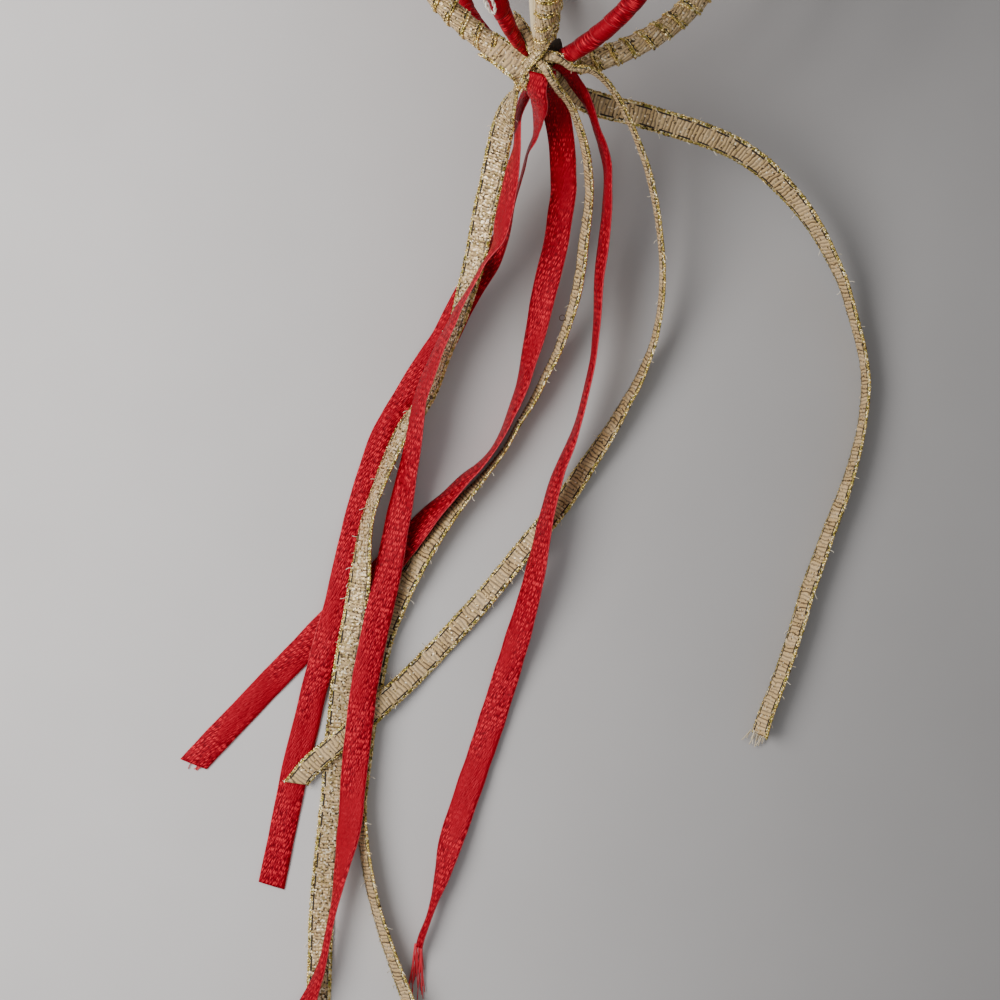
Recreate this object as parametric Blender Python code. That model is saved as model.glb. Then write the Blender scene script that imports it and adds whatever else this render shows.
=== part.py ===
"""A straw ornament: a small ball of ribbon-wound ribs, tied at both ends, with eight free ribbon ends.

It lies on its side. Its axis runs along Y, the knot with the free ends is at -Y, and the floor is z = 0.
"""
import math

import bmesh
import bpy
from mathutils import Matrix, Vector

MM = 0.001

# Ball
ball_radius = 17.5 * MM
pole_pull = 0.8 * MM
rib_end_latitude = math.radians(80.5)
taper_from_latitude = math.radians(68.0)
taper_to = 0.70
rest_flat_depth = 0.3 * MM

# Gold ribs, wound with braid
gold_rib_diameter = 2.4 * MM
gold_wrap_pitch = 1.9 * MM
gold_wrap_step = 0.20 * MM

# Red ribs, wound with satin
red_rib_diameter = 2.0 * MM
red_wrap_pitch = 2.2 * MM
red_wrap_step = 0.14 * MM

wrap_sides = 7

# Where the ribs stand round the axis, in degrees from straight up, towards +X
rib_angles = {
    "gold_rib_top": 0.0,
    "gold_rib_right": 90.0,
    "gold_rib_bottom": 180.0,
    "gold_rib_left": 270.0,
    "red_rib_top_right": 43.0,
    "red_rib_bottom_right": 136.0,
    "red_rib_bottom_left": 224.0,
    "red_rib_top_left": 330.0,
}

# How far a rib's middle bows round the axis from that place, in degrees
rib_bows = {"red_rib_bottom_right": -30.0}

# Knots
knot_core_radius = 2.2 * MM
knot_distance = ball_radius + 1.25 * MM
strap_width = 1.6 * MM
strap_thickness = 0.25 * MM
strap_sink = 0.4 * MM
knot_straps = [(62, 20), (118, -15), (35, 75)]

# Ribbons
braid_width = 2.6 * MM
satin_width = 3.0 * MM
ribbon_thickness = 0.3 * MM
ribbon_step = 3.0 * MM

# Hanging thread
thread_diameter = 0.4 * MM
thread_gap = 0.2 * MM
thread_spread = 0.9 * MM
thread_step = 1.9 * MM
thread_rib = "red_rib_top_left"
thread_start_latitude = 78
thread_end_latitude = -55
bight_reach = 2.5
thread_past_knot = 1.9 * MM
thread_over_knot = 2.6 * MM

ball_height = ball_radius + gold_rib_diameter / 2 - rest_flat_depth

# Free ends, as points along each ribbon from the knot: x, y, then how far its lower edge is above the
# floor, in millimetres, then its lean in degrees (positive lifts the edge on the +X side).
gold_tail_routes = {
    "gold_tail_left": [
        (-1.9, -21.0, 16, 45), (-2.2, -22.1, 13.6, 42), (-2.6, -23.6, 11.2, 28), (-2.85, -26.2, 8.4, 18),
        (-3.0, -29.3, 6.5, 16), (-3.2, -32.1, 5.3, 18), (-3.3, -35.2, 4.3, 22), (-3.4, -38.3, 3.5, 28),
        (-3.7, -41.1, 3.05, 34), (-4.0, -44.0, 2.4, 44), (-4.5, -46.9, 1.85, 56), (-5.1, -50.0, 1.1, 60),
        (-5.8, -53.0, 0.75, 54), (-6.7, -55.2, 0.68, 48), (-7.6, -56.9, 0.68, 46), (-8.4, -59.0, 0.7, 50),
        (-9.15, -61.9, 0.7, 56), (-9.75, -64.9, 0.72, 59), (-10.2, -67.8, 0.8, 58), (-10.2, -70.6, 1.0, 50),
        (-10.0, -73.5, 1.2, 36), (-9.8, -77.2, 1.25, 18), (-9.8, -81.5, 1.2, 8), (-9.8, -84.3, 1.1, 4),
        (-9.7, -87.7, 0.85, 0), (-9.5, -91.1, 0.45, 0), (-9.3, -95.1, 0.12, 0), (-8.8, -99.0, 0.05, 0),
        (-8.5, -103.3, 0.05, 0), (-8.2, -107.6, 0.05, 0), (-7.8, -112.3, 0.05, 0), (-7.1, -117.3, 0.05, 0),
        (-6.4, -122.3, 0.05, 0), (-5.8, -127.3, 0.05, 0), (-5.2, -131.2, 0.05, 0),
    ],
    "gold_tail_middle": [
        (2.5, -21.0, 18.5, 64), (3.3, -21.4, 17.1, 68), (4.2, -22.1, 15.6, 70),
        (5.1, -23.2, 13.6, 70), (6.1, -24.8, 11.4, 68), (6.95, -26.8, 9.4, 66), (7.65, -29.3, 7.5, 64),
        (7.9, -31.8, 6, 62), (8.0, -34.4, 4.9, 60), (8.2, -37.0, 3.9, 60), (8.2, -40.0, 3, 60),
        (7.9, -42.8, 2.2, 62), (7.4, -45.9, 1.4, 65), (6.5, -49.0, 0.8, 70), (5.6, -52.1, 0.4, 74),
        (4.5, -54.8, 0.2, 78), (3.6, -57.6, 0.08, 80), (2.4, -60.0, 0.05, 76), (1.1, -62.3, 0.04, 70),
        (-0.4, -64.7, 0.04, 62), (-1.8, -67.4, 0.04, 54), (-3.0, -70.0, 0.04, 46), (-4.1, -72.8, 0.04, 40),
        (-5.2, -76.1, 0.04, 30), (-6.2, -80.1, 0.04, 20), (-6.6, -83.7, 0.04, 12), (-6.65, -87.4, 0.04, 8),
        (-6.65, -91.2, 0.04, 8), (-6.4, -95.0, 0.04, 22), (-6.0, -98.2, 0.04, 42), (-5.4, -100.9, 0.04, 56),
        (-4.4, -104.1, 0.04, 63), (-3.0, -108.1, 0.04, 62), (-1.2, -112.1, 0.04, 60),
        (1.0, -116.2, 0.04, 57), (3.4, -120.3, 0.04, 54), (5.6, -123.9, 0.04, 50), (7.7, -127.6, 0.04, 40),
    ],
    "gold_tail_right": [
        (3.5, -18.7, 19.6, 70), (4.6, -18.6, 19.4, 76), (5.8, -18.5, 18.5, 78), (7.1, -18.9, 16.8, 78),
        (8.3, -19.7, 15.4, 76), (9.4, -20.7, 13.9, 75), (10.6, -22.0, 12.3, 74), (11.9, -23.7, 10.6, 74),
        (13.4, -25.9, 8.6, 74), (14.9, -28.9, 6.6, 75), (16.2, -32.4, 4.8, 76), (17.2, -36.0, 3.4, 76),
        (17.7, -39.6, 2.3, 74), (17.7, -43.0, 1.5, 72), (17.3, -45.7, 0.9, 70), (16.7, -48.3, 0.5, 66),
        (15.9, -50.5, 0.3, 62), (15.0, -53.1, 0.15, 56), (13.9, -55.8, 0.1, 48), (12.7, -58.5, 0.05, 40),
        (11.2, -62.0, 0.04, 30), (9.4, -65.4, 0.04, 28), (7.6, -68.5, 0.04, 28), (5.4, -72.5, 0.04, 25),
        (3.9, -75.1, 0.04, 20), (2.3, -77.7, 0.04, 14), (0.4, -80.7, 0.05, 10), (-1.6, -83.7, 0.3, 4),
        (-3.4, -86.2, 0.8, 0), (-5.3, -88.6, 1.15, -4), (-6.9, -90.8, 1.25, -3), (-8.8, -93.0, 1.1, 0),
        (-10.3, -94.8, 0.9, 0), (-11.8, -96.7, 0.7, 0), (-13.0, -98.8, 0.64, 0),
    ],
    "gold_tail_outer": [
        (4.3, -20.1, 14.0, 8), (6.1, -20.3, 12.9, 8), (8.3, -20.4, 12.0, 8),
        (11.2, -20.4, 11.2, 10), (14.0, -20.6, 10.4, 15), (16.8, -20.8, 9.5, 22), (19.9, -21.1, 8.3, 28),
        (22.9, -21.7, 7.1, 33), (25.8, -22.8, 6, 39), (28.4, -24.3, 4.9, 46), (30.9, -26.1, 4, 54),
        (33.1, -28.1, 3.1, 61), (35.2, -30.5, 2.3, 67), (37.3, -33.3, 1.5, 71), (39.1, -36.7, 0.8, 74),
        (40.7, -40.0, 0.3, 76), (41.9, -43.7, 0.08, 77), (42.3, -47.6, 0.04, 77), (42.2, -51.6, 0.04, 74),
        (41.7, -55.7, 0.04, 69), (41.0, -59.4, 0.04, 64), (40.3, -63.4, 0.04, 61), (39.6, -67.4, 0.04, 60),
        (39.2, -71.1, 0.04, 60), (38.7, -74.7, 0.04, 60), (38.1, -78.5, 0.04, 60), (37.4, -81.9, 0.04, 58),
        (37.1, -84.4, 0.04, 56),
    ],
}

red_tail_routes = {
    "red_tail_left": [
        (-0.9, -20.7, 12.5, 50), (-1.2, -21.8, 11.0, 66), (-1.3, -23.1, 10.3, 74),
        (-1.05, -24.8, 10.1, 78), (-0.9, -26.3, 9.9, 75), (-0.9, -28.1, 9.3, 65), (-0.9, -30.7, 8.6, 54),
        (-1.0, -33.1, 7.8, 52), (-1.2, -35.5, 6.7, 60), (-1.6, -36.8, 6.1, 72), (-2.3, -38.4, 5.5, 80),
        (-3.0, -40.4, 5.1, 80), (-3.7, -42.3, 4.7, 77), (-4.3, -44.0, 4.3, 74), (-4.9, -46.1, 3.8, 70),
        (-5.5, -48.1, 3.4, 66), (-6.0, -50.3, 3.3, 62), (-6.4, -52.5, 3.3, 60), (-6.7, -54.6, 3.3, 58),
        (-6.65, -56.5, 3.25, 54), (-6.6, -58.8, 3.05, 48), (-6.7, -62.0, 2.2, 42), (-6.8, -65.4, 1.7, 32),
        (-6.9, -68.8, 1.5, 22), (-6.9, -72.2, 1.7, 12), (-7.0, -76.0, 2.15, 4), (-7.2, -80.2, 2.25, 0),
        (-7.3, -83.8, 2.2, 0), (-7.3, -87.3, 2.15, 0), (-7.1, -91.0, 2.0, 4), (-6.9, -94.7, 1.75, 10),
        (-6.6, -98.4, 1.55, 18), (-6.3, -101.5, 1.5, 26), (-6.3, -104.9, 1.2, 36), (-6.4, -108.3, 0.95, 50),
        (-6.5, -111.9, 0.8, 62), (-6.6, -114.9, 0.75, 65), (-6.7, -118.0, 0.7, 60),
        (-7.1, -120.9, 0.66, 45), (-7.8, -124.1, 0.6, 30), (-8.7, -127.3, 0.4, 18), (-9.2, -130.2, 0.15, 10),
    ],
    "red_tail_centre_left": [
        (0.6, -22.4, 16.9, 48), (0.65, -22.8, 14.9, 60), (0.7, -23.5, 12.4, 72),
        (0.7, -24.7, 9.9, 82), (0.4, -26.2, 7.9, 84), (0.2, -27.8, 6.4, 84), (-0.0, -29.6, 5.1, 82),
        (-0.3, -31.4, 4.1, 76), (-0.6, -33.2, 3.4, 64), (-1.1, -35.4, 2.9, 48), (-1.8, -37.7, 2.5, 28),
        (-2.6, -39.3, 2.35, 12), (-3.3, -40.8, 2.2, 4), (-4.3, -43.6, 1.5, 0), (-5.3, -46.9, 0.9, 0),
        (-6.5, -49.5, 0.5, 0), (-7.6, -51.9, 0.2, 0), (-8.5, -54.4, 0.05, 0), (-9.5, -56.9, 0.04, 0),
        (-10.3, -59.6, 0.04, 0), (-10.8, -62.7, 0.04, 0), (-11.2, -66.2, 0.1, 0), (-11.5, -70.0, 0.4, 0),
        (-11.7, -73.7, 0.66, 0), (-11.9, -77.6, 0.68, 0), (-12.3, -82.0, 0.67, 0), (-12.6, -85.5, 0.6, 0),
        (-12.9, -88.4, 0.3, 0), (-13.1, -92.3, 0.06, 0), (-13.4, -96.1, 0.04, 0), (-13.5, -99.8, 0.04, 0),
        (-13.6, -103.3, 0.04, 0), (-13.7, -107.3, 0.04, 0), (-13.8, -110.7, 0.04, 0),
    ],
    "red_tail_centre": [
        (2.1, -21.1, 14.4, 28), (2.6, -21.9, 12.7, 28), (3.3, -23.4, 10.9, 26),
        (3.9, -25.0, 9.4, 25), (4.4, -26.9, 8, 25), (4.9, -29.3, 6.6, 25), (5.0, -31.9, 5.4, 25),
        (5.1, -34.8, 4.3, 24), (4.9, -38.0, 3.2, 22), (4.7, -40.9, 2.4, 26), (4.6, -44.2, 1.6, 38),
        (4.4, -47.6, 0.9, 52), (4.1, -50.8, 0.4, 62), (3.5, -53.7, 0.15, 70), (2.9, -56.3, 0.08, 76),
        (2.0, -58.5, 0.05, 80), (0.9, -60.3, 0.04, 75), (-0.4, -62.0, 0.04, 67), (-1.9, -64.3, 0.04, 57),
        (-3.3, -66.3, 0.04, 45), (-4.6, -68.5, 0.04, 32), (-5.9, -70.7, 0.04, 16), (-7.3, -73.2, 0.04, 5),
        (-9.0, -75.6, 0.04, 0), (-10.6, -77.8, 0.04, 0), (-12.0, -79.6, 0.04, 0), (-14.1, -82.7, 0.04, 0),
        (-16.1, -85.7, 0.04, 0), (-18.2, -88.8, 0.04, 0), (-20.3, -92.0, 0.04, 0), (-22.6, -95.4, 0.04, 0),
        (-24.8, -98.8, 0.04, 0),
    ],
    "red_tail_right": [
        (4.2, -19.6, 16.5, 36), (4.8, -20.1, 15.7, 40), (5.5, -20.9, 14.9, 56), (6.3, -21.9, 13.8, 70),
        (7.2, -23.2, 12.0, 72), (8.1, -24.5, 10.5, 70), (9.0, -26.3, 8.9, 68), (9.5, -28.5, 7.7, 68),
        (9.9, -31.0, 6.5, 69), (10.1, -33.6, 5.5, 70), (10.3, -36.8, 4.5, 72), (10.7, -40.0, 3.8, 76),
        (11.1, -43.2, 3.2, 78), (11.3, -46.7, 2.8, 79), (11.2, -50.2, 2.4, 79), (11.0, -53.2, 2.2, 77),
        (10.6, -55.9, 2, 74), (10.0, -58.5, 1.9, 70), (9.6, -61.1, 1.85, 65), (9.4, -63.6, 1.85, 62),
        (9.3, -66.4, 1.85, 56), (9.2, -69.3, 1.85, 48), (9.1, -72.5, 1.5, 40), (8.8, -75.9, 1, 32),
        (8.4, -79.7, 0.6, 22), (8.0, -83.2, 0.3, 15), (7.6, -86.3, 0.15, 12), (7.0, -90.5, 0.08, 12),
        (6.3, -94.9, 0.05, 15), (5.7, -98.7, 0.05, 20), (5.1, -102.6, 0.05, 28), (4.8, -106.0, 0.05, 38),
        (4.4, -108.8, 0.05, 50), (4.1, -111.1, 0.05, 56), (3.7, -113.2, 0.05, 52), (3.6, -114.4, 0.05, 48),
    ],
}

for thing in list(bpy.data.objects):
    bpy.data.objects.remove(thing, do_unlink=True)

scene = bpy.context.scene
scene.unit_settings.scale_length = 1.0
ornament = bpy.data.collections.new("straw_ornament")
scene.collection.children.link(ornament)
helpers = bpy.data.collections.new("helpers")
scene.collection.children.link(helpers)


def cloth(name, colour, roughness, metallic=0.0):
    material = bpy.data.materials.new(name)
    material.use_nodes = True
    shader = material.node_tree.nodes["Principled BSDF"]
    shader.inputs["Base Color"].default_value = (*colour, 1.0)
    shader.inputs["Roughness"].default_value = roughness
    shader.inputs["Metallic"].default_value = metallic
    return material


gold_braid = cloth("gold_braid", (0.62, 0.50, 0.27), 0.55, 0.2)
red_satin = cloth("red_satin", (0.62, 0.01, 0.02), 0.40)
cream_thread = cloth("cream_thread", (0.80, 0.74, 0.62), 0.8)


def hide(thing):
    thing.hide_render = True
    thing.display_type = "WIRE"


def add_mesh(name, bm, material, collection):
    """Makes one object from a bmesh, with its faces turned outwards."""
    bmesh.ops.recalc_face_normals(bm, faces=bm.faces)
    if bm.calc_volume(signed=True) < 0:
        bmesh.ops.reverse_faces(bm, faces=bm.faces)
    mesh = bpy.data.meshes.new(name)
    bm.to_mesh(mesh)
    bm.free()
    thing = bpy.data.objects.new(name, mesh)
    collection.objects.link(thing)
    if material:
        mesh.materials.append(material)
    return thing


def meridian(latitude):
    """Distance from the axis and distance along it of a rib's middle line."""
    reach = ball_radius + pole_pull * abs(math.sin(latitude)) ** 12
    return ball_radius * math.cos(latitude), reach * math.sin(latitude)


def wound_rod(length, radius, pitch, step):
    """A straight rod along Z, wound with a ribbon: its surface climbs by one pitch a turn."""
    turns = round(length / pitch)
    true_pitch = length / (turns + 1)
    bm = bmesh.new()
    points = [(radius - step, 0.0), (radius, 0.22), (radius - step, 1.0)]
    corners = [bm.verts.new((reach, 0.0, share * true_pitch)) for reach, share in points]
    edges = [bm.edges.new(pair) for pair in zip(corners, corners[1:])]
    bmesh.ops.spin(
        bm,
        geom=corners + edges,
        axis=(0, 0, 1),
        cent=(0, 0, 0),
        dvec=(0, 0, true_pitch / wrap_sides),
        angle=math.tau * turns,
        steps=wrap_sides * turns,
    )
    bmesh.ops.remove_doubles(bm, verts=bm.verts, dist=0.002 * MM)
    ends = bmesh.ops.holes_fill(bm, edges=bm.edges, sides=0)["faces"]
    bmesh.ops.poke(bm, faces=ends)
    return bm


def rib_directions(name, latitude=0.0):
    bow = rib_bows.get(name, 0.0) * math.sqrt(max(0.0, math.cos(latitude)))
    angle = math.radians(rib_angles[name] + bow)
    outwards = Vector((math.sin(angle), 0, math.cos(angle)))
    across = Vector((math.cos(angle), 0, -math.sin(angle)))
    return outwards, across


def rib(name, diameter, pitch, step, material):
    """Bends a wound rod into a rib of the ball."""
    length = 2 * rib_end_latitude * ball_radius
    bm = wound_rod(length, diameter / 2, pitch, step)
    for corner in bm.verts:
        latitude = (corner.co.z / length - 0.5) * 2 * rib_end_latitude
        beyond = max(0.0, abs(latitude) - taper_from_latitude)
        share = beyond / (rib_end_latitude - taper_from_latitude)
        size = 1 - (1 - taper_to) * min(1.0, share)
        outwards, across = rib_directions(name, latitude)
        from_axis, along = meridian(latitude)
        nose = Vector((0, math.sin(latitude), 0)) + outwards * math.cos(latitude)
        place = outwards * from_axis + Vector((0, along, ball_height))
        corner.co = place + nose * corner.co.x * size + across * corner.co.y * size
    return add_mesh(name, bm, material, ornament)


def cut_with(thing, cutter, operation):
    change = thing.modifiers.new(cutter.name, "BOOLEAN")
    change.operation = operation
    change.solver = "EXACT"
    change.object = cutter


def strap_ring(name, lean, turn, radius, width, thickness):
    """A closed band round the knot's middle."""
    bm = bmesh.new()
    inside = radius - strap_sink
    outside = radius + thickness
    section = [
        bm.verts.new((reach, 0, side * width / 2))
        for reach, side in ((inside, -1), (outside, -1), (outside, 1), (inside, 1))
    ]
    edges = [bm.edges.new((section[i], section[(i + 1) % 4])) for i in range(4)]
    bmesh.ops.spin(
        bm, geom=section + edges, axis=(0, 0, 1), cent=(0, 0, 0), angle=math.tau, steps=18
    )
    bmesh.ops.remove_doubles(bm, verts=bm.verts, dist=0.002 * MM)
    turned = Matrix.Rotation(turn, 4, "Y") @ Matrix.Rotation(lean, 4, "X")
    bmesh.ops.transform(bm, matrix=turned, verts=bm.verts)
    band = add_mesh(name, bm, None, helpers)
    hide(band)
    return band


def knot(name, side, straps):
    """A ball of lashing at one end of the axis, with bands of braid over it."""
    bm = bmesh.new()
    bmesh.ops.create_uvsphere(bm, u_segments=16, v_segments=10, radius=knot_core_radius)
    body = add_mesh(name, bm, gold_braid, ornament)
    middle = Vector((0, side * knot_distance, ball_height))
    body.location = middle
    for count, (lean, turn) in enumerate(straps):
        band = strap_ring(
            f"{name}_strap_{count + 1}",
            math.radians(-side * lean),
            math.radians(turn),
            knot_core_radius,
            strap_width,
            strap_thickness * (0.76 + 0.24 * count),
        )
        band.location = middle
        cut_with(body, band, "UNION")
    return body


def smooth_route(points, step):
    """Evenly spaced points on a smooth curve through the given ones."""
    spaced = []
    last = len(points) - 1
    for index in range(last):
        before = Vector(points[max(index - 1, 0)])
        start = Vector(points[index])
        end = Vector(points[index + 1])
        after = Vector(points[min(index + 2, last)])
        for part in range(8):
            t = part / 8
            spaced.append(
                0.5
                * (
                    2 * start
                    + (end - before) * t
                    + (2 * before - 5 * start + 4 * end - after) * t**2
                    + (3 * start - before - 3 * end + after) * t**3
                )
            )
    spaced.append(Vector(points[last]))
    travelled = [0.0]
    for here, there in zip(spaced, spaced[1:]):
        travelled.append(travelled[-1] + (there.to_3d() - here.to_3d()).length)
    pieces = max(2, round(travelled[-1] / step))
    result = []
    index = 0
    for piece in range(pieces + 1):
        wanted = travelled[-1] * piece / pieces
        while index < len(spaced) - 2 and travelled[index + 1] < wanted:
            index += 1
        gap = travelled[index + 1] - travelled[index]
        share = min(1.0, max(0.0, (wanted - travelled[index]) / gap))
        result.append(spaced[index].lerp(spaced[index + 1], share))
    return result


def ribbon_section(name, width):
    data = bpy.data.curves.new(name, "CURVE")
    data.dimensions = "2D"
    data.fill_mode = "NONE"
    spline = data.splines.new("POLY")
    half = width / 2
    thick = ribbon_thickness / 2
    corners = ((-half, thick), (half, thick), (half, -thick), (-half, -thick))
    spline.points.add(3)
    for point, (x, y) in zip(spline.points, corners):
        point.co = (x, y, 0, 1)
    spline.use_cyclic_u = True
    section = bpy.data.objects.new(name, data)
    helpers.objects.link(section)
    hide(section)
    return section


def ribbon(name, route, width, section, material):
    """A flat ribbon along a route, leaning as the route says."""
    points = []
    for x, y, lift, lean in route:
        turn = math.radians(lean)
        half = width / 2 * abs(math.sin(turn)) + ribbon_thickness / 2 * abs(math.cos(turn))
        points.append((x * MM, y * MM, lift * MM + half, turn))
    data = bpy.data.curves.new(name, "CURVE")
    data.dimensions = "3D"
    data.twist_mode = "Z_UP"
    data.bevel_mode = "OBJECT"
    data.bevel_object = section
    data.use_fill_caps = True
    placed = smooth_route(points, ribbon_step)
    spline = data.splines.new("POLY")
    spline.points.add(len(placed) - 1)
    for point, spot in zip(spline.points, placed):
        point.co = (spot[0], spot[1], spot[2], 1)
        point.tilt = spot[3]
    data.materials.append(material)
    thing = bpy.data.objects.new(name, data)
    ornament.objects.link(thing)
    return thing


def thread_points():
    """Out from the top knot along the outside of a rib, round the bight and back."""
    outwards, across = rib_directions(thread_rib)
    centre = Vector((0, 0, ball_height))
    from_rib = (red_rib_diameter + thread_diameter) / 2 + thread_gap
    latitudes = list(range(thread_start_latitude, thread_end_latitude, -10))
    latitudes.append(thread_end_latitude)

    def on_rib(degrees, sideways):
        latitude = math.radians(degrees)
        from_axis, along = meridian(latitude)
        nose = Vector((0, math.sin(latitude), 0)) + outwards * math.cos(latitude)
        place = centre + outwards * from_axis + Vector((0, along, 0))
        return place + nose * from_rib + across * sideways

    def at_knot(sideways):
        away = Vector((0, knot_distance + thread_past_knot, 0))
        return centre + away + outwards * thread_over_knot + across * sideways

    half = thread_spread / 2
    out = [on_rib(degrees, -half) for degrees in latitudes]
    back = [on_rib(degrees, half) for degrees in reversed(latitudes)]
    bight = [on_rib(thread_end_latitude - bight_reach, 0)]
    return [at_knot(-half)] + out + bight + back + [at_knot(half)]


def thread(name, points, material):
    data = bpy.data.curves.new(name, "CURVE")
    data.dimensions = "3D"
    data.bevel_depth = thread_diameter / 2
    data.bevel_resolution = 2
    data.use_fill_caps = True
    placed = smooth_route(points, thread_step)
    spline = data.splines.new("POLY")
    spline.points.add(len(placed) - 1)
    for point, spot in zip(spline.points, placed):
        point.co = (spot[0], spot[1], spot[2], 1)
    data.materials.append(material)
    thing = bpy.data.objects.new(name, data)
    ornament.objects.link(thing)
    return thing


# Ribs
for rib_name in rib_angles:
    if rib_name.startswith("gold"):
        rib(rib_name, gold_rib_diameter, gold_wrap_pitch, gold_wrap_step, gold_braid)
    else:
        rib(rib_name, red_rib_diameter, red_wrap_pitch, red_wrap_step, red_satin)

# Flat spot that the ball rests on
rest_bm = bmesh.new()
bmesh.ops.create_cube(rest_bm, size=1.0)
rest_cutter = add_mesh("rest_cutter", rest_bm, None, helpers)
rest_cutter.scale = (10 * MM, 20 * MM, 4 * MM)
rest_cutter.location = (0, 0, -2 * MM)
hide(rest_cutter)
cut_with(bpy.data.objects["gold_rib_bottom"], rest_cutter, "DIFFERENCE")

# Knots
knot("bottom_knot", -1, knot_straps)
knot("top_knot", 1, knot_straps)

# Free ends
braid_section = ribbon_section("braid_section", braid_width)
satin_section = ribbon_section("satin_section", satin_width)
for tail_name, tail_route in gold_tail_routes.items():
    ribbon(tail_name, tail_route, braid_width, braid_section, gold_braid)
for tail_name, tail_route in red_tail_routes.items():
    ribbon(tail_name, tail_route, satin_width, satin_section, red_satin)

# Hanging thread
thread("hanging_thread_loop", thread_points(), cream_thread)
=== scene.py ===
import math
import random

import bmesh
import bpy
from mathutils import Matrix, Vector, noise


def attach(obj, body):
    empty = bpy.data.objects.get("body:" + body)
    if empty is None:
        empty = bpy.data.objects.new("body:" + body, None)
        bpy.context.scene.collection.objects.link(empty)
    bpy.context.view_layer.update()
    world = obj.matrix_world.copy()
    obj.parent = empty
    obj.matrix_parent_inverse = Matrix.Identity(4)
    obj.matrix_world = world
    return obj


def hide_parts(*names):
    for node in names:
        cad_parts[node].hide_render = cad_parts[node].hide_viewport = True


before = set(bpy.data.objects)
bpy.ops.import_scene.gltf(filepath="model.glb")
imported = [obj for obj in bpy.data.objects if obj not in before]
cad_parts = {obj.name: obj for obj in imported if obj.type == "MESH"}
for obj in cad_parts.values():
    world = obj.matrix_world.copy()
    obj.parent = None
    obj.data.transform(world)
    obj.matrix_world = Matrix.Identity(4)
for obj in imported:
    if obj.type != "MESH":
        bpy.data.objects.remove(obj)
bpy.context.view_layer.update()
mm = 0.001
print("stage: frame loaded")

# sizes that the pieces share
ball = {
    "radius": 17.5 * mm,
    "height": 18.4 * mm,
    "polePull": 0.8 * mm,
    "endLatitude": 81.5,
    "taperLatitude": 66.0,
    "farTaper": 0.74,
}
knotSpot = {"distance": 18.75 * mm, "core": 2.15 * mm}
tableGap = 0.02 * mm  # no piece comes closer to the table
tubeGap = 0.05 * mm  # windings, cores and threads are made this far above it

# camera and light, as the photo has them: straight down, soft light from the picture's left
view = {
    "centre": (3.96 * mm, -63.6 * mm), "height": 240 * mm, "turn": 10.0, "across": 112.36 * mm, "sensor": 36,
    "nearest": 0.01,
}
light = {
    "aim": (0, -0.055, 0), "keyPower": 0.66, "keySize": 0.19, "keyDistance": 0.235, "keyRise": 45.0,
    "keyUp": 0.10, "aimLeft": 0.10, "keyColour": (1.0, 0.975, 0.95),
    "fillPower": 0.50, "fillSize": 0.45, "fillLeft": 0.34, "fillOffset": (0.0, -0.05, 0.36),
    "fillAimLeft": 0.12, "fillColour": (0.95, 0.95, 1.0), "sky": (0.97, 0.98, 1.0), "skyStrength": 0.42,
}


def makeCamera():
    data = bpy.data.cameras.new("photoCamera")
    data.sensor_width = view["sensor"]
    data.lens = view["sensor"] * view["height"] / view["across"]
    data.clip_start = view["nearest"]
    thing = bpy.data.objects.new("photoCamera", data)
    thing.location = (*view["centre"], view["height"])
    thing.rotation_euler = (0, 0, math.radians(view["turn"]))
    bpy.context.scene.collection.objects.link(thing)
    bpy.context.scene.camera = thing


def areaLamp(name, place, target, kind):
    data = bpy.data.lights.new(name, "AREA")
    data.shape = "DISK"
    data.size = light[kind + "Size"]
    data.energy = light[kind + "Power"]
    data.color = light[kind + "Colour"]
    thing = bpy.data.objects.new(name, data)
    thing.location = place
    thing.rotation_euler = (target - place).to_track_quat("-Z", "Y").to_euler()
    bpy.context.scene.collection.objects.link(thing)


def makeLight():
    turn = math.radians(view["turn"])
    right = Vector((math.cos(turn), math.sin(turn), 0))
    up = Vector((-math.sin(turn), math.cos(turn), 0))
    rise = math.radians(light["keyRise"])
    aim = Vector(light["aim"])
    away = -right * math.cos(rise) + up * light["keyUp"] + Vector((0, 0, math.sin(rise)))
    areaLamp("windowLight", aim + away * light["keyDistance"], aim - right * light["aimLeft"], "key")
    fillPlace = aim - right * light["fillLeft"] + Vector(light["fillOffset"])
    areaLamp("fillLight", fillPlace, aim - right * light["fillAimLeft"], "fill")
    world = bpy.data.worlds.new("softRoom")
    world.use_nodes = True
    back = world.node_tree.nodes["Background"]
    back.inputs["Color"].default_value = (*light["sky"], 1)
    back.inputs["Strength"].default_value = light["skyStrength"]
    bpy.context.scene.world = world


makeCamera()
makeLight()
print("stage: camera and light")


# a socket that takes part in sums, so that a node tree can be written as formulas
class Flow:
    def __init__(self, socket):
        self.socket = socket

    def __add__(self, other):
        return calc("ADD", self, other)

    def __radd__(self, other):
        return calc("ADD", other, self)

    def __sub__(self, other):
        return calc("SUBTRACT", self, other)

    def __rsub__(self, other):
        return calc("SUBTRACT", other, self)

    def __mul__(self, other):
        return calc("MULTIPLY", self, other)

    def __truediv__(self, other):
        return calc("DIVIDE", self, other)


def plug(socket, value):
    if isinstance(value, bpy.types.Node):
        value = value.outputs[0]
    if isinstance(value, Flow):
        value = value.socket
    if isinstance(value, bpy.types.NodeSocket):
        socket.id_data.links.new(value, socket)
    else:
        socket.default_value = value


def newNode(tree, kind, inputs=None, **settings):
    node = tree.nodes.new(kind)
    for name, value in settings.items():
        setattr(node, name, value)
    for socket, value in (inputs or {}).items():
        plug(node.inputs[socket], value)
    return node


# a node in the tree that its inputs come from
def flowNode(kind, inputs, output=0, **settings):
    tree = next(value.socket.id_data for value in inputs.values() if isinstance(value, Flow))
    return Flow(newNode(tree, kind, inputs, **settings).outputs[output])


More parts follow.
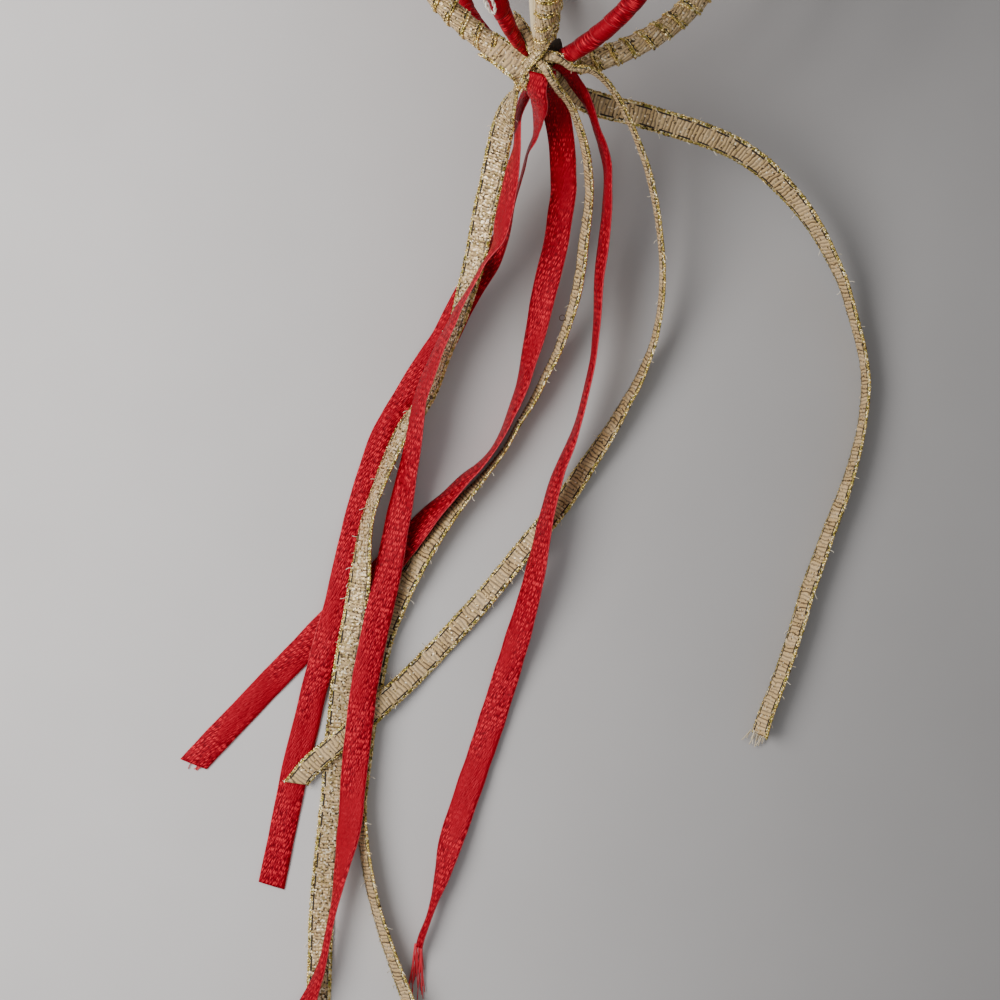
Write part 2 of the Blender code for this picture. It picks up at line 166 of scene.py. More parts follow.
def calc(operation, *values, clamp=False):
    return flowNode("ShaderNodeMath", dict(enumerate(values)), operation=operation, use_clamp=clamp)


def joinXyz(*values):
    return flowNode("ShaderNodeCombineXYZ", dict(enumerate(values)))


def splitXyz(tree, source):
    return [Flow(part) for part in newNode(tree, "ShaderNodeSeparateXYZ", {0: source}).outputs]


def mixColour(share, first, second, blend="MIX"):
    inputs = {0: share, 6: first, 7: second}
    return flowNode("ShaderNodeMix", inputs, 2, data_type="RGBA", blend_type=blend)


def ramp(value, stops, sharp=False):
    node = newNode(value.socket.id_data, "ShaderNodeValToRGB", {0: value})
    if sharp:
        node.color_ramp.interpolation = "CONSTANT"
    for index, (place, colour) in enumerate(stops):
        stop = node.color_ramp.elements[index] if index < 2 else node.color_ramp.elements.new(place)
        stop.position = place
        stop.color = (*colour, 1)
    return Flow(node.outputs[0])


def softStep(value, low, high):
    inputs = {0: value, 1: low, 2: high}
    return flowNode("ShaderNodeMapRange", inputs, interpolation_type="SMOOTHSTEP", clamp=True)


def cellNoise(vector, spread):
    tree = vector.socket.id_data
    inputs = {"Vector": vector, "Scale": 1.0, "Randomness": spread}
    cells = newNode(tree, "ShaderNodeTexVoronoi", inputs, voronoi_dimensions="2D", feature="F1")
    shade = newNode(tree, "ShaderNodeSeparateColor", {0: cells.outputs["Color"]})
    return Flow(cells.outputs["Distance"]), Flow(shade.outputs[0]), Flow(shade.outputs[1])


def cloudNoise(vector, scale, detail=2.0):
    inputs = {"Vector": vector, "Scale": scale, "Detail": detail}
    return flowNode("ShaderNodeTexNoise", inputs, noise_dimensions="3D")


def ribbonUv(tree):
    # U runs across the ribbon from 0 to 1, V along it in millimetres
    return splitXyz(tree, newNode(tree, "ShaderNodeUVMap", uv_map="UVMap"))[:2]


# a tree with named inputs, given as first values or as the word for their kind
def groupTree(name, kind, inputs, outputs):
    tree = bpy.data.node_groups.new(name, kind)
    kinds = {float: "Float", int: "Int", tuple: "Color"}
    for label, value in inputs.items():
        word = value if isinstance(value, str) else kinds[type(value)]
        socket = tree.interface.new_socket(label, in_out="INPUT", socket_type="NodeSocket" + word)
        if word != value:
            socket.default_value = value
    for label, word in outputs.items():
        tree.interface.new_socket(label, in_out="OUTPUT", socket_type="NodeSocket" + word)
    given = {socket.name: Flow(socket) for socket in newNode(tree, "NodeGroupInput").outputs}
    return tree, given, newNode(tree, "NodeGroupOutput").inputs


# the braid's marks: shares of the half width for the line and the edge, foil cells and threads in
# counts across and millimetres along, then how much each adds to colour, gloss and height
braidMarks = {
    "line": (0.635, 0.665), "lineEnd": (0.775, 0.805), "edge": (0.78, 0.82), "lineWander": 0.05,
    "wanderAcross": 1.6, "wanderAlong": 0.9, "ribWander": 1.5, "dashWander": 0.35, "dashShift": 0.37,
    "threadsAcross": 9.0, "threadsAlong": 7.0, "deepRib": (0.04, 0.5), "deepThread": (0.22, 0.5),
    "foilAcross": 15.0, "foilAlong": 0.19, "edgeAcross": 11.0, "edgeAlong": 0.21,
    "paleShare": 0.38, "foilShare": 0.9, "foilShine": 0.7, "dull": 0.68, "polish": 0.36, "metal": 0.75,
    "ribHeight": 0.55, "threadHeight": 0.35, "foilHeight": 0.25, "edgeHeight": 0.9, "lineDepth": 0.5,
}


# weave of the beige braid: ribs across it with painted shade in their grooves, dark dashed lines and
# glittering edges
def makeBraidGroup():
    inputs = {
        "Rib Pitch": 0.44, "Dash Period": 2.3, "Dash Share": 0.7, "Glitter": 0.3,
        "Left Line": 1.0, "Right Line": 1.0,
        # Gap is the painted shade in the grooves between the ribs
        "Body": (0.56, 0.368, 0.155, 1), "Pale Rib": (0.84, 0.63, 0.37, 1), "Gap": (0.075, 0.040, 0.014, 1),
        "Dash": (0.022, 0.012, 0.008, 1),
    }
    outputs = {"Color": "Color", "Roughness": "Float", "Metallic": "Float", "Height": "Float"}
    tree, given, out = groupTree("braidWeave", "ShaderNodeTree", inputs, outputs)
    marks = braidMarks
    u, v = ribbonUv(tree)
    fromMiddle = u - 0.5
    side = calc("ABSOLUTE", fromMiddle) * 2.0
    wobble = cloudNoise(joinXyz(u * marks["wanderAcross"], v * marks["wanderAlong"], 0.0), 1.0)
    ribs = v / given["Rib Pitch"] + wobble * marks["ribWander"]
    wave = calc("SINE", ribs * math.tau) * 0.5 + 0.5
    oneRib = flowNode("ShaderNodeTexWhiteNoise", {"W": calc("FLOOR", ribs)}, noise_dimensions="1D")
    threads = cloudNoise(joinXyz(u * marks["threadsAcross"], v * marks["threadsAlong"], 3.0), 1.0, 3.0)
    # painted shade: the grooves between the ribs and threads darken towards the Gap colour
    deep = softStep(wave, *marks["deepRib"]) * softStep(threads, *marks["deepThread"])
    body = mixColour(deep, given["Gap"], given["Body"])
    body = mixColour(oneRib * marks["paleShare"], body, given["Pale Rib"])
    # glitter: small cells of foil between the threads; their random near-black to near-white shades are
    # partly the foil's own tone and partly painted sparkle
    cells = joinXyz(u * marks["foilAcross"], v / marks["foilAlong"], 0.0)
    _, cellA, cellB = cellNoise(cells, 0.85)
    foil = ramp(cellA, [
        (0.0, (0.05, 0.03, 0.012)), (0.16, (0.33, 0.24, 0.09)), (0.38, (0.66, 0.46, 0.22)),
        (0.66, (0.93, 0.72, 0.43)), (0.86, (1.0, 0.87, 0.62)),
    ], True)
    foilMask = calc("LESS_THAN", cellB, given["Glitter"])
    colour = mixColour(foilMask * marks["foilShare"], body, foil)
    # dark stitched line inside each edge
    isRight = calc("GREATER_THAN", fromMiddle, 0.0)
    phase = v / given["Dash Period"] + isRight * marks["dashShift"] + wobble * marks["dashWander"]
    dash = calc("LESS_THAN", calc("FRACT", phase), given["Dash Share"])
    ends = {0: isRight, 2: given["Left Line"], 3: given["Right Line"]}
    whichLine = flowNode("ShaderNodeMix", ends, data_type="FLOAT")
    lineIn = side - (wobble - 0.5) * marks["lineWander"]
    line = softStep(lineIn, *marks["line"]) * (1.0 - softStep(lineIn, *marks["lineEnd"]))
    line = line * dash * whichLine
    # foil wound round the edge, its random near-black to near-white shades partly its own tone and partly
    # painted sparkle
    edge = softStep(side, *marks["edge"])
    cells = joinXyz(u * marks["edgeAcross"], v / marks["edgeAlong"], 0.0)
    edgeFar, edgeA, _ = cellNoise(cells, 0.9)
    lurex = ramp(edgeA, [
        (0.0, (0.10, 0.06, 0.02)), (0.18, (0.38, 0.33, 0.06)), (0.36, (0.58, 0.42, 0.12)),
        (0.6, (0.86, 0.66, 0.28)), (0.82, (1.0, 0.88, 0.56)),
    ], True)
    colour = mixColour(line, mixColour(edge, colour, lurex), given["Dash"])
    shiny = calc("MAXIMUM", edge, foilMask * marks["foilShine"]) * (1.0 - line)
    height = wave * marks["ribHeight"] + threads * marks["threadHeight"] + foilMask * marks["foilHeight"]
    height = height + edge * (marks["edgeHeight"] - edgeFar) - line * marks["lineDepth"]
    plug(out["Color"], colour)
    plug(out["Roughness"], marks["dull"] - shiny * marks["polish"])
    plug(out["Metallic"], shiny * marks["metal"])
    plug(out["Height"], height)
    return tree


# the satin's marks: how its floats lean, where the painted glints, the painted shade in the gaps and the
# woven edge start, and their shares
satinMarks = {
    "lean": 0.22, "glint": (0.52, 0.66), "glintFar": (0.20, 0.42), "gap": (0.38, 0.62),
    "edge": (0.955, 0.985), "cellTone": 0.30, "cloudTone": 0.55, "cloudAlong": 0.35, "cloudSize": 0.8,
    "patchAcross": 0.8, "patchAlong": 0.11, "patch": (0.34, 0.52), "glintShare": 0.85, "gapShare": 0.65,
    "edgeShare": 0.45, "dull": 0.34, "duller": 0.26, "floatHeight": 0.8,
}


# satin: short floats along the ribbon with painted glints on them and painted shade between them, and a paler
# woven edge
def makeSatinGroup():
    inputs = {
        "Float Width": 0.15, "Float Length": 0.62, "Ribbon Width": 3.0,
        # Glint is a painted highlight colour, Gap the painted shade between the floats
        "Glint": (0.88, 0.030, 0.050, 1), "Deep": (0.25, 0.0006, 0.008, 1),
        "Bright": (0.42, 0.0015, 0.016, 1), "Gap": (0.12, 0.0004, 0.004, 1),
        "Woven Edge": (0.80, 0.10, 0.12, 1),
    }
    outputs = {"Color": "Color", "Roughness": "Float", "Height": "Float"}
    tree, given, out = groupTree("satinFloats", "ShaderNodeTree", inputs, outputs)
    marks = satinMarks
    u, v = ribbonUv(tree)
    side = calc("ABSOLUTE", u - 0.5) * 2.0
    acrossMm = u * given["Ribbon Width"]
    # the floats lean a little, as the rows of a satin weave do
    leaning = acrossMm + v * marks["lean"]
    spot = joinXyz(leaning / given["Float Width"], v / given["Float Length"], 0.0)
    far, cellA, cellB = cellNoise(spot, 0.8)
    cloud = cloudNoise(joinXyz(acrossMm, v * marks["cloudAlong"], 0.0), marks["cloudSize"], 3.0)
    tone = cellA * marks["cellTone"] + cloud * marks["cloudTone"]
    colour = mixColour(tone, given["Deep"], given["Bright"])
    # painted glints: bright spots of the Glint colour mixed into the base colour, in patches, where light
    # would catch the floats
    patch = cloudNoise(joinXyz(u * marks["patchAcross"], v * marks["patchAlong"], 7.0), 1.0, 1.0)
    patchy = softStep(patch, *marks["patch"])
    glint = softStep(cellB, *marks["glint"]) * (1.0 - softStep(far, *marks["glintFar"])) * patchy
    colour = mixColour(glint * marks["glintShare"], colour, given["Glint"])
    # painted shade in the gaps between the floats, as raking light would leave it
    gap = softStep(far, *marks["gap"]) * (patchy * marks["gapShare"])
    colour = mixColour(gap, colour, given["Gap"])
    woven = softStep(side, *marks["edge"]) * marks["edgeShare"]
    colour = mixColour(woven, colour, given["Woven Edge"])
    plug(out["Color"], colour)
    plug(out["Roughness"], marks["dull"] + cellB * marks["duller"])
    plug(out["Height"], 1.0 - far + cellA * marks["floatHeight"])
    return tree


# the two weaves, how deep their bump is and what else the shader gets
braid = {"group": makeBraidGroup(), "depth": 0.10 * mm, "finish": {}}
satin = {
    "group": makeSatinGroup(), "depth": 0.045 * mm, "finish": {"Metallic": 0.2, "Specular IOR Level": 0.08},
}


def startMaterial(name):
    material = bpy.data.materials.new(name)
    material.use_nodes = True
    tree = material.node_tree
    return material, tree, tree.nodes["Principled BSDF"]


def addBump(tree, shader, height, distance):
    bump = newNode(tree, "ShaderNodeBump", {"Strength": 1.0, "Distance": distance, "Height": height})
    plug(shader.inputs["Normal"], bump)


def wovenMaterial(name, weave, values):
    material, tree, shader = startMaterial(name)
    group = newNode(tree, "ShaderNodeGroup", values, node_tree=weave["group"])
    for label, value in weave["finish"].items():
        plug(shader.inputs[label], value)
    for output in group.outputs:
        if output.name != "Height":
            plug(shader.inputs["Base Color" if output.name == "Color" else output.name], output)
    addBump(tree, shader, group.outputs["Height"], weave["depth"])
    return material


# a thread or bead whose own tint is stored on each copy
def tintMaterial(name, roughness, metallic, stops):
    material, tree, shader = startMaterial(name)
    own = newNode(tree, "ShaderNodeAttribute", attribute_name="tint")
    plug(shader.inputs["Base Color"], ramp(Flow(own.outputs["Fac"]), stops))
    place = Flow(newNode(tree, "ShaderNodeTexCoord").outputs["Object"])
    grain = cloudNoise(place, 9000.0, 2.0)
    plug(shader.inputs["Roughness"], roughness - 0.1 + grain * 0.2)
    plug(shader.inputs["Metallic"], metallic)
    addBump(tree, shader, grain, 0.02 * mm)
    return material


# edge foil tints from near-black to pale gold: partly the foil's own tone, partly painted sparkle and shade
# on the beads
goldEdge = tintMaterial("goldEdge", 0.28, 0.9, [
    (0.0, (0.12, 0.07, 0.02)), (0.2, (0.40, 0.33, 0.08)), (0.45, (0.62, 0.42, 0.12)),
    (0.75, (0.86, 0.64, 0.26)), (1.0, (1.0, 0.86, 0.52)),
])
beigeFibre = tintMaterial("beigeFibre", 0.6, 0.1, [
    (0.0, (0.45, 0.33, 0.16)), (0.5, (0.72, 0.60, 0.40)), (1.0, (0.90, 0.82, 0.66)),
])
redFibre = tintMaterial("redFibre", 0.5, 0.0, [(0.0, (0.40, 0.004, 0.012)), (1.0, (0.85, 0.03, 0.06))])
creamThread = tintMaterial("creamThread", 0.7, 0.0, [(0.0, (0.60, 0.50, 0.38)), (1.0, (0.90, 0.84, 0.74))])
strawCore = tintMaterial("strawCore", 0.45, 0.0, [(0.0, (0.62, 0.48, 0.26)), (1.0, (0.82, 0.70, 0.46))])
# near-black: painted shade for the hollow beside the right red rib, and the own colour of the sprung dark
# thread
darkThreadAndPaintedShade = tintMaterial("darkThreadAndPaintedShade", 0.9, 0.0, [(0.0, (0.020, 0.012, 0.007)), (1.0, (0.045, 0.028, 0.016))])
plainBraid = wovenMaterial("plainBraid", braid, {"Glitter": 0.10})
wrapBraid = wovenMaterial("wrapBraid", braid, {
    "Glitter": 0.16, "Left Line": 0.35, "Right Line": 0.15, "Rib Pitch": 0.5,
})
sparkBraid = wovenMaterial("sparkBraid", braid, {"Glitter": 0.62, "Right Line": 0.75, "Rib Pitch": 0.40})
ribBraid = wovenMaterial("ribBraid", braid, {"Glitter": 0.34, "Dash Share": 0.55, "Rib Pitch": 0.30})
redSatin = wovenMaterial("redSatin", satin, {})
ribSatin = wovenMaterial("ribSatin", satin, {"Float Length": 1.1, "Float Width": 0.15})
print("stage: materials")

# free ends, as points from the knot: x, y, lift of the lower edge in millimetres, lean in degrees
goldTailRoutes = {
    "gold_tail_left": [
        (-1.9, -21.0, 16, 45), (-2.2, -22.1, 13.6, 42), (-2.6, -23.6, 11.2, 28), (-2.85, -26.2, 8.4, 18),
        (-3.0, -29.3, 6.5, 16), (-3.2, -32.1, 5.3, 18), (-3.3, -35.2, 4.3, 22), (-3.4, -38.3, 3.5, 28),
        (-3.7, -41.1, 3.05, 34), (-4.0, -44.0, 2.4, 44), (-4.5, -46.9, 1.85, 56), (-5.1, -50.0, 1.1, 60),
        (-5.8, -53.0, 0.75, 54), (-6.7, -55.2, 0.68, 48), (-7.6, -56.9, 0.68, 46), (-8.4, -59.0, 0.7, 50),
        (-9.15, -61.9, 0.7, 56), (-9.75, -64.9, 0.72, 59), (-10.2, -67.8, 0.8, 58), (-10.2, -70.6, 1.0, 50),
        (-10.0, -73.5, 1.2, 36), (-9.8, -77.2, 1.25, 18), (-9.8, -81.5, 1.2, 8), (-9.8, -84.3, 1.1, 4),
        (-9.7, -87.7, 0.85, 0), (-9.5, -91.1, 0.45, 0), (-9.3, -95.1, 0.12, 0), (-8.8, -99.0, 0.05, 0),
        (-8.5, -103.3, 0.05, 0), (-8.2, -107.6, 0.05, 0), (-7.8, -112.3, 0.05, 0), (-7.1, -117.3, 0.05, 0),
        (-6.4, -122.3, 0.05, 0), (-5.8, -127.3, 0.05, 0), (-5.2, -131.2, 0.05, 0),
    ],
    "gold_tail_middle": [
        (2.5, -21.0, 18.5, 64), (3.3, -21.4, 17.1, 68), (4.2, -22.1, 15.6, 70),
        (5.1, -23.2, 13.6, 70), (6.1, -24.8, 11.4, 68), (6.95, -26.8, 9.4, 66), (7.65, -29.3, 7.5, 64),
        (7.9, -31.8, 6, 62), (8.0, -34.4, 4.9, 60), (8.2, -37.0, 3.9, 60), (8.2, -40.0, 3, 60),
        (7.9, -42.8, 2.2, 62), (7.4, -45.9, 1.4, 65), (6.5, -49.0, 0.8, 70), (5.6, -52.1, 0.4, 74),
        (4.5, -54.8, 0.2, 78), (3.6, -57.6, 0.08, 80), (2.4, -60.0, 0.05, 76), (1.1, -62.3, 0.04, 70),
        (-0.4, -64.7, 0.04, 62), (-1.8, -67.4, 0.04, 54), (-3.0, -70.0, 0.04, 46), (-4.1, -72.8, 0.04, 40),
        (-5.2, -76.1, 0.04, 30), (-6.2, -80.1, 0.04, 20), (-6.6, -83.7, 0.04, 12), (-6.65, -87.4, 0.04, 8),
        (-6.65, -91.2, 0.04, 8), (-6.4, -95.0, 0.04, 22), (-6.0, -98.2, 0.04, 42), (-5.4, -100.9, 0.04, 56),
        (-4.4, -104.1, 0.04, 63), (-3.0, -108.1, 0.04, 62), (-1.2, -112.1, 0.04, 60),
        (1.0, -116.2, 0.04, 57), (3.4, -120.3, 0.04, 54), (5.6, -123.9, 0.04, 50), (7.7, -127.6, 0.04, 40),
    ],
    "gold_tail_right": [
        (3.5, -18.7, 19.6, 70), (4.6, -18.6, 19.4, 76), (5.8, -18.5, 18.5, 78), (7.1, -18.9, 16.8, 78),
        (8.3, -19.7, 15.4, 76), (9.4, -20.7, 13.9, 75), (10.6, -22.0, 12.3, 74), (11.9, -23.7, 10.6, 74),
        (13.4, -25.9, 8.6, 74), (14.9, -28.9, 6.6, 75), (16.2, -32.4, 4.8, 76), (17.2, -36.0, 3.4, 76),
        (17.7, -39.6, 2.3, 74), (17.7, -43.0, 1.5, 72), (17.3, -45.7, 0.9, 70), (16.7, -48.3, 0.5, 66),
        (15.9, -50.5, 0.3, 62), (15.0, -53.1, 0.15, 56), (13.9, -55.8, 0.1, 48), (12.7, -58.5, 0.05, 40),
        (11.2, -62.0, 0.04, 30), (9.4, -65.4, 0.04, 28), (7.6, -68.5, 0.04, 28), (5.4, -72.5, 0.04, 25),
        (3.9, -75.1, 0.04, 20), (2.3, -77.7, 0.04, 14), (0.4, -80.7, 0.05, 10), (-1.6, -83.7, 0.3, 4),
        (-3.4, -86.2, 0.8, 0), (-5.3, -88.6, 1.15, -4), (-6.9, -90.8, 1.25, -3), (-8.8, -93.0, 1.1, 0),
        (-10.3, -94.8, 0.9, 0), (-11.8, -96.7, 0.7, 0), (-13.0, -98.8, 0.64, 0),
    ],
    "gold_tail_outer": [
        (4.3, -20.1, 14.0, 8), (6.1, -20.3, 12.9, 8), (8.3, -20.4, 12.0, 8),
        (11.2, -20.4, 11.2, 10), (14.0, -20.6, 10.4, 15), (16.8, -20.8, 9.5, 22), (19.9, -21.1, 8.3, 28),
        (22.9, -21.7, 7.1, 33), (25.8, -22.8, 6, 39), (28.4, -24.3, 4.9, 46), (30.9, -26.1, 4, 54),
        (33.1, -28.1, 3.1, 61), (35.2, -30.5, 2.3, 67), (37.3, -33.3, 1.5, 71), (39.1, -36.7, 0.8, 74),
        (40.7, -40.0, 0.3, 76), (41.9, -43.7, 0.08, 77), (42.3, -47.6, 0.04, 77), (42.2, -51.6, 0.04, 74),
        (41.7, -55.7, 0.04, 69), (41.0, -59.4, 0.04, 64), (40.3, -63.4, 0.04, 61), (39.6, -67.4, 0.04, 60),
        (39.2, -71.1, 0.04, 60), (38.7, -74.7, 0.04, 60), (38.1, -78.5, 0.04, 60), (37.4, -81.9, 0.04, 58),
        (37.1, -84.4, 0.04, 56),
    ],
}

redTailRoutes = {
    "red_tail_left": [
        (-0.9, -20.7, 12.5, 50), (-1.2, -21.8, 11.0, 66), (-1.3, -23.1, 10.3, 74),
        (-1.05, -24.8, 10.1, 78), (-0.9, -26.3, 9.9, 75), (-0.9, -28.1, 9.3, 65), (-0.9, -30.7, 8.6, 54),
        (-1.0, -33.1, 7.8, 52), (-1.2, -35.5, 6.7, 60), (-1.6, -36.8, 6.1, 72), (-2.3, -38.4, 5.5, 80),
        (-3.0, -40.4, 5.1, 80), (-3.7, -42.3, 4.7, 77), (-4.3, -44.0, 4.3, 74), (-4.9, -46.1, 3.8, 70),
        (-5.5, -48.1, 3.4, 66), (-6.0, -50.3, 3.3, 62), (-6.4, -52.5, 3.3, 60), (-6.7, -54.6, 3.3, 58),
        (-6.65, -56.5, 3.25, 54), (-6.6, -58.8, 3.05, 48), (-6.7, -62.0, 2.2, 42), (-6.8, -65.4, 1.7, 32),
        (-6.9, -68.8, 1.5, 22), (-6.9, -72.2, 1.7, 12), (-7.0, -76.0, 2.15, 4), (-7.2, -80.2, 2.25, 0),
        (-7.3, -83.8, 2.2, 0), (-7.3, -87.3, 2.15, 0), (-7.1, -91.0, 2.0, 4), (-6.9, -94.7, 1.75, 10),
        (-6.6, -98.4, 1.55, 18), (-6.3, -101.5, 1.5, 26), (-6.3, -104.9, 1.2, 36), (-6.4, -108.3, 0.95, 50),
        (-6.5, -111.9, 0.8, 62), (-6.6, -114.9, 0.75, 65), (-6.7, -118.0, 0.7, 60),
        (-7.1, -120.9, 0.66, 45), (-7.8, -124.1, 0.6, 30), (-8.7, -127.3, 0.4, 18), (-9.2, -130.2, 0.15, 10),
    ],
    "red_tail_centre_left": [
        (0.6, -22.4, 16.9, 48), (0.65, -22.8, 14.9, 60), (0.7, -23.5, 12.4, 72),
        (0.7, -24.7, 9.9, 82), (0.4, -26.2, 7.9, 84), (0.2, -27.8, 6.4, 84), (-0.0, -29.6, 5.1, 82),
        (-0.3, -31.4, 4.1, 76), (-0.6, -33.2, 3.4, 64), (-1.1, -35.4, 2.9, 48), (-1.8, -37.7, 2.5, 28),
        (-2.6, -39.3, 2.35, 12), (-3.3, -40.8, 2.2, 4), (-4.3, -43.6, 1.5, 0), (-5.3, -46.9, 0.9, 0),
        (-6.5, -49.5, 0.5, 0), (-7.6, -51.9, 0.2, 0), (-8.5, -54.4, 0.05, 0), (-9.5, -56.9, 0.04, 0),
        (-10.3, -59.6, 0.04, 0), (-10.8, -62.7, 0.04, 0), (-11.2, -66.2, 0.1, 0), (-11.5, -70.0, 0.4, 0),
        (-11.7, -73.7, 0.66, 0), (-11.9, -77.6, 0.68, 0), (-12.3, -82.0, 0.67, 0), (-12.6, -85.5, 0.6, 0),
        (-12.9, -88.4, 0.3, 0), (-13.1, -92.3, 0.06, 0), (-13.4, -96.1, 0.04, 0), (-13.5, -99.8, 0.04, 0),
        (-13.6, -103.3, 0.04, 0), (-13.7, -107.3, 0.04, 0), (-13.8, -110.7, 0.04, 0),
    ],
    "red_tail_centre": [
        (2.1, -21.1, 14.4, 28), (2.6, -21.9, 12.7, 28), (3.3, -23.4, 10.9, 26),
        (3.9, -25.0, 9.4, 25), (4.4, -26.9, 8, 25), (4.9, -29.3, 6.6, 25), (5.0, -31.9, 5.4, 25),
        (5.1, -34.8, 4.3, 24), (4.9, -38.0, 3.2, 22), (4.7, -40.9, 2.4, 26), (4.6, -44.2, 1.6, 38),
        (4.4, -47.6, 0.9, 52), (4.1, -50.8, 0.4, 62), (3.5, -53.7, 0.15, 70), (2.9, -56.3, 0.08, 76),
        (2.0, -58.5, 0.05, 80), (0.9, -60.3, 0.04, 75), (-0.4, -62.0, 0.04, 67), (-1.9, -64.3, 0.04, 57),
        (-3.3, -66.3, 0.04, 45), (-4.6, -68.5, 0.04, 32), (-5.9, -70.7, 0.04, 16), (-7.3, -73.2, 0.04, 5),
        (-9.0, -75.6, 0.04, 0), (-10.6, -77.8, 0.04, 0), (-12.0, -79.6, 0.04, 0), (-14.1, -82.7, 0.04, 0),
        (-16.1, -85.7, 0.04, 0), (-18.2, -88.8, 0.04, 0), (-20.3, -92.0, 0.04, 0), (-22.6, -95.4, 0.04, 0),
        (-24.8, -98.8, 0.04, 0),
    ],
    "red_tail_right": [
        (4.2, -19.6, 16.5, 36), (4.8, -20.1, 15.7, 40), (5.5, -20.9, 14.9, 56), (6.3, -21.9, 13.8, 70),
        (7.2, -23.2, 12.0, 72), (8.1, -24.5, 10.5, 70), (9.0, -26.3, 8.9, 68), (9.5, -28.5, 7.7, 68),
        (9.9, -31.0, 6.5, 69), (10.1, -33.6, 5.5, 70), (10.3, -36.8, 4.5, 72), (10.7, -40.0, 3.8, 76),
        (11.1, -43.2, 3.2, 78), (11.3, -46.7, 2.8, 79), (11.2, -50.2, 2.4, 79), (11.0, -53.2, 2.2, 77),
        (10.6, -55.9, 2, 74), (10.0, -58.5, 1.9, 70), (9.6, -61.1, 1.85, 65), (9.4, -63.6, 1.85, 62),
        (9.3, -66.4, 1.85, 56), (9.2, -69.3, 1.85, 48), (9.1, -72.5, 1.5, 40), (8.8, -75.9, 1, 32),
        (8.4, -79.7, 0.6, 22), (8.0, -83.2, 0.3, 15), (7.6, -86.3, 0.15, 12), (7.0, -90.5, 0.08, 12),
        (6.3, -94.9, 0.05, 15), (5.7, -98.7, 0.05, 20), (5.1, -102.6, 0.05, 28), (4.8, -106.0, 0.05, 38),
        (4.4, -108.8, 0.05, 50), (4.1, -111.1, 0.05, 56), (3.7, -113.2, 0.05, 52), (3.6, -114.4, 0.05, 48),
    ],
}

# where each free end starts inside the lashing, ahead of the routes above
innerEnds = {
    "gold_tail_left": [
        (0.9, -15.6, 25.8, 0), (0.6, -16.4, 25.4, 0), (0.3, -17.2, 24.2, 0), (-0.1, -18.0, 22.5, 10),
        (-0.8, -18.8, 21.0, 30), (-1.3, -19.6, 19.6, 40), (-1.7, -20.4, 17.8, 45),
    ],
    "gold_tail_middle": [(0.1, -18.7, 21.6, 10), (0.8, -19.5, 21.2, 30), (1.6, -20.3, 20.2, 50)],
    "gold_tail_right": [(0.6, -18.2, 21.6, 10), (1.6, -18.2, 21.4, 30), (2.6, -18.4, 20.6, 50)],
    "gold_tail_outer": [(2.2, -19.2, 16.0, 8), (3.2, -19.7, 15.0, 8)],
    "red_tail_left": [(-0.6, -19.6, 14.6, 40)],
    "red_tail_centre_left": [(0.3, -19.8, 20.7, 10), (0.3, -20.6, 20.0, 25), (0.35, -21.5, 18.9, 40)],
    "red_tail_centre": [(1.2, -19.2, 20.0, 15), (1.3, -20.0, 18.6, 25), (1.6, -20.6, 16.6, 28)],
    "red_tail_right": [(1.8, -18.3, 20.4, 5), (2.4, -18.5, 19.8, 15), (3.2, -18.9, 18.6, 25)],
}


def makeObject(name, bm, materials):
    mesh = bpy.data.meshes.new(name)
    bm.to_mesh(mesh)
    bm.free()
    for material in materials:
        mesh.materials.append(material)
    for face in mesh.polygons:
        face.use_smooth = True
    thing = bpy.data.objects.new(name, mesh)
    bpy.context.scene.collection.objects.link(thing)
    return thing


def joinInto(name, things):
    bm = bmesh.new()
    materials = []
    bm.loops.layers.uv.new("UVMap")
    bm.verts.layers.float.new("tint")
    for thing in things:
        places = []
        for material in thing.data.materials:
            if material not in materials:
                materials.append(material)
            places.append(materials.index(material))
        had = len(bm.faces)
        bm.from_mesh(thing.data)
        bm.faces.ensure_lookup_table()
        for index in range(had, len(bm.faces)):
            face = bm.faces[index]
            face.material_index = places[min(face.material_index, len(places) - 1)]
    # loose fibres and edge foil that would dip into the table lie on it instead
    for corner in bm.verts:
        corner.co.z = max(abs(corner.co.z), tableGap)
    for thing in things:
        bpy.data.objects.remove(thing)
    return makeObject(name, bm, materials)


# a smooth line through the points, cut into even steps; returns it and its length
def smoothRoute(points, step):
    spaced = []
    last = len(points) - 1
    parts = 8
    for index in range(last):
        before = Vector(points[max(index - 1, 0)])
        start = Vector(points[index])
        end = Vector(points[index + 1])
        after = Vector(points[min(index + 2, last)])
        for part in range(parts):
            t = part / parts
            spaced.append(0.5 * (
                2 * start + (end - before) * t
                + (2 * before - 5 * start + 4 * end - after) * t**2
                + (3 * start - before - 3 * end + after) * t**3
            ))
    spaced.append(Vector(points[last]))
    travelled = [0.0]
    for here, there in zip(spaced, spaced[1:]):
        travelled.append(travelled[-1] + (there.to_3d() - here.to_3d()).length)
    count = max(2, round(travelled[-1] / step))
    result = []
    index = 0
    for number in range(count + 1):
        wanted = travelled[-1] * number / count
        while index < len(spaced) - 2 and travelled[index + 1] < wanted:
            index += 1
        gap = max(1e-9, travelled[index + 1] - travelled[index])
        share = clampShare((wanted - travelled[index]) / gap)
        result.append(spaced[index].lerp(spaced[index + 1], share))
    return result, travelled[-1]


def clampShare(value):
    return min(1.0, max(0.0, value))


def direction(line, index):
    return (Vector(line[min(index + 1, len(line) - 1)]) - Vector(line[max(index - 1, 0)])).normalized()


def shareAt(stops, travel):
    # eased steps between given shares of a ribbon's full width
    for (start, low), (end, high) in zip(stops, stops[1:]):
        if travel <= end:
            share = clampShare((travel - start) / (end - start))
            return low + (high - low) * share * share * (3 - 2 * share)
    return stops[-1][1]


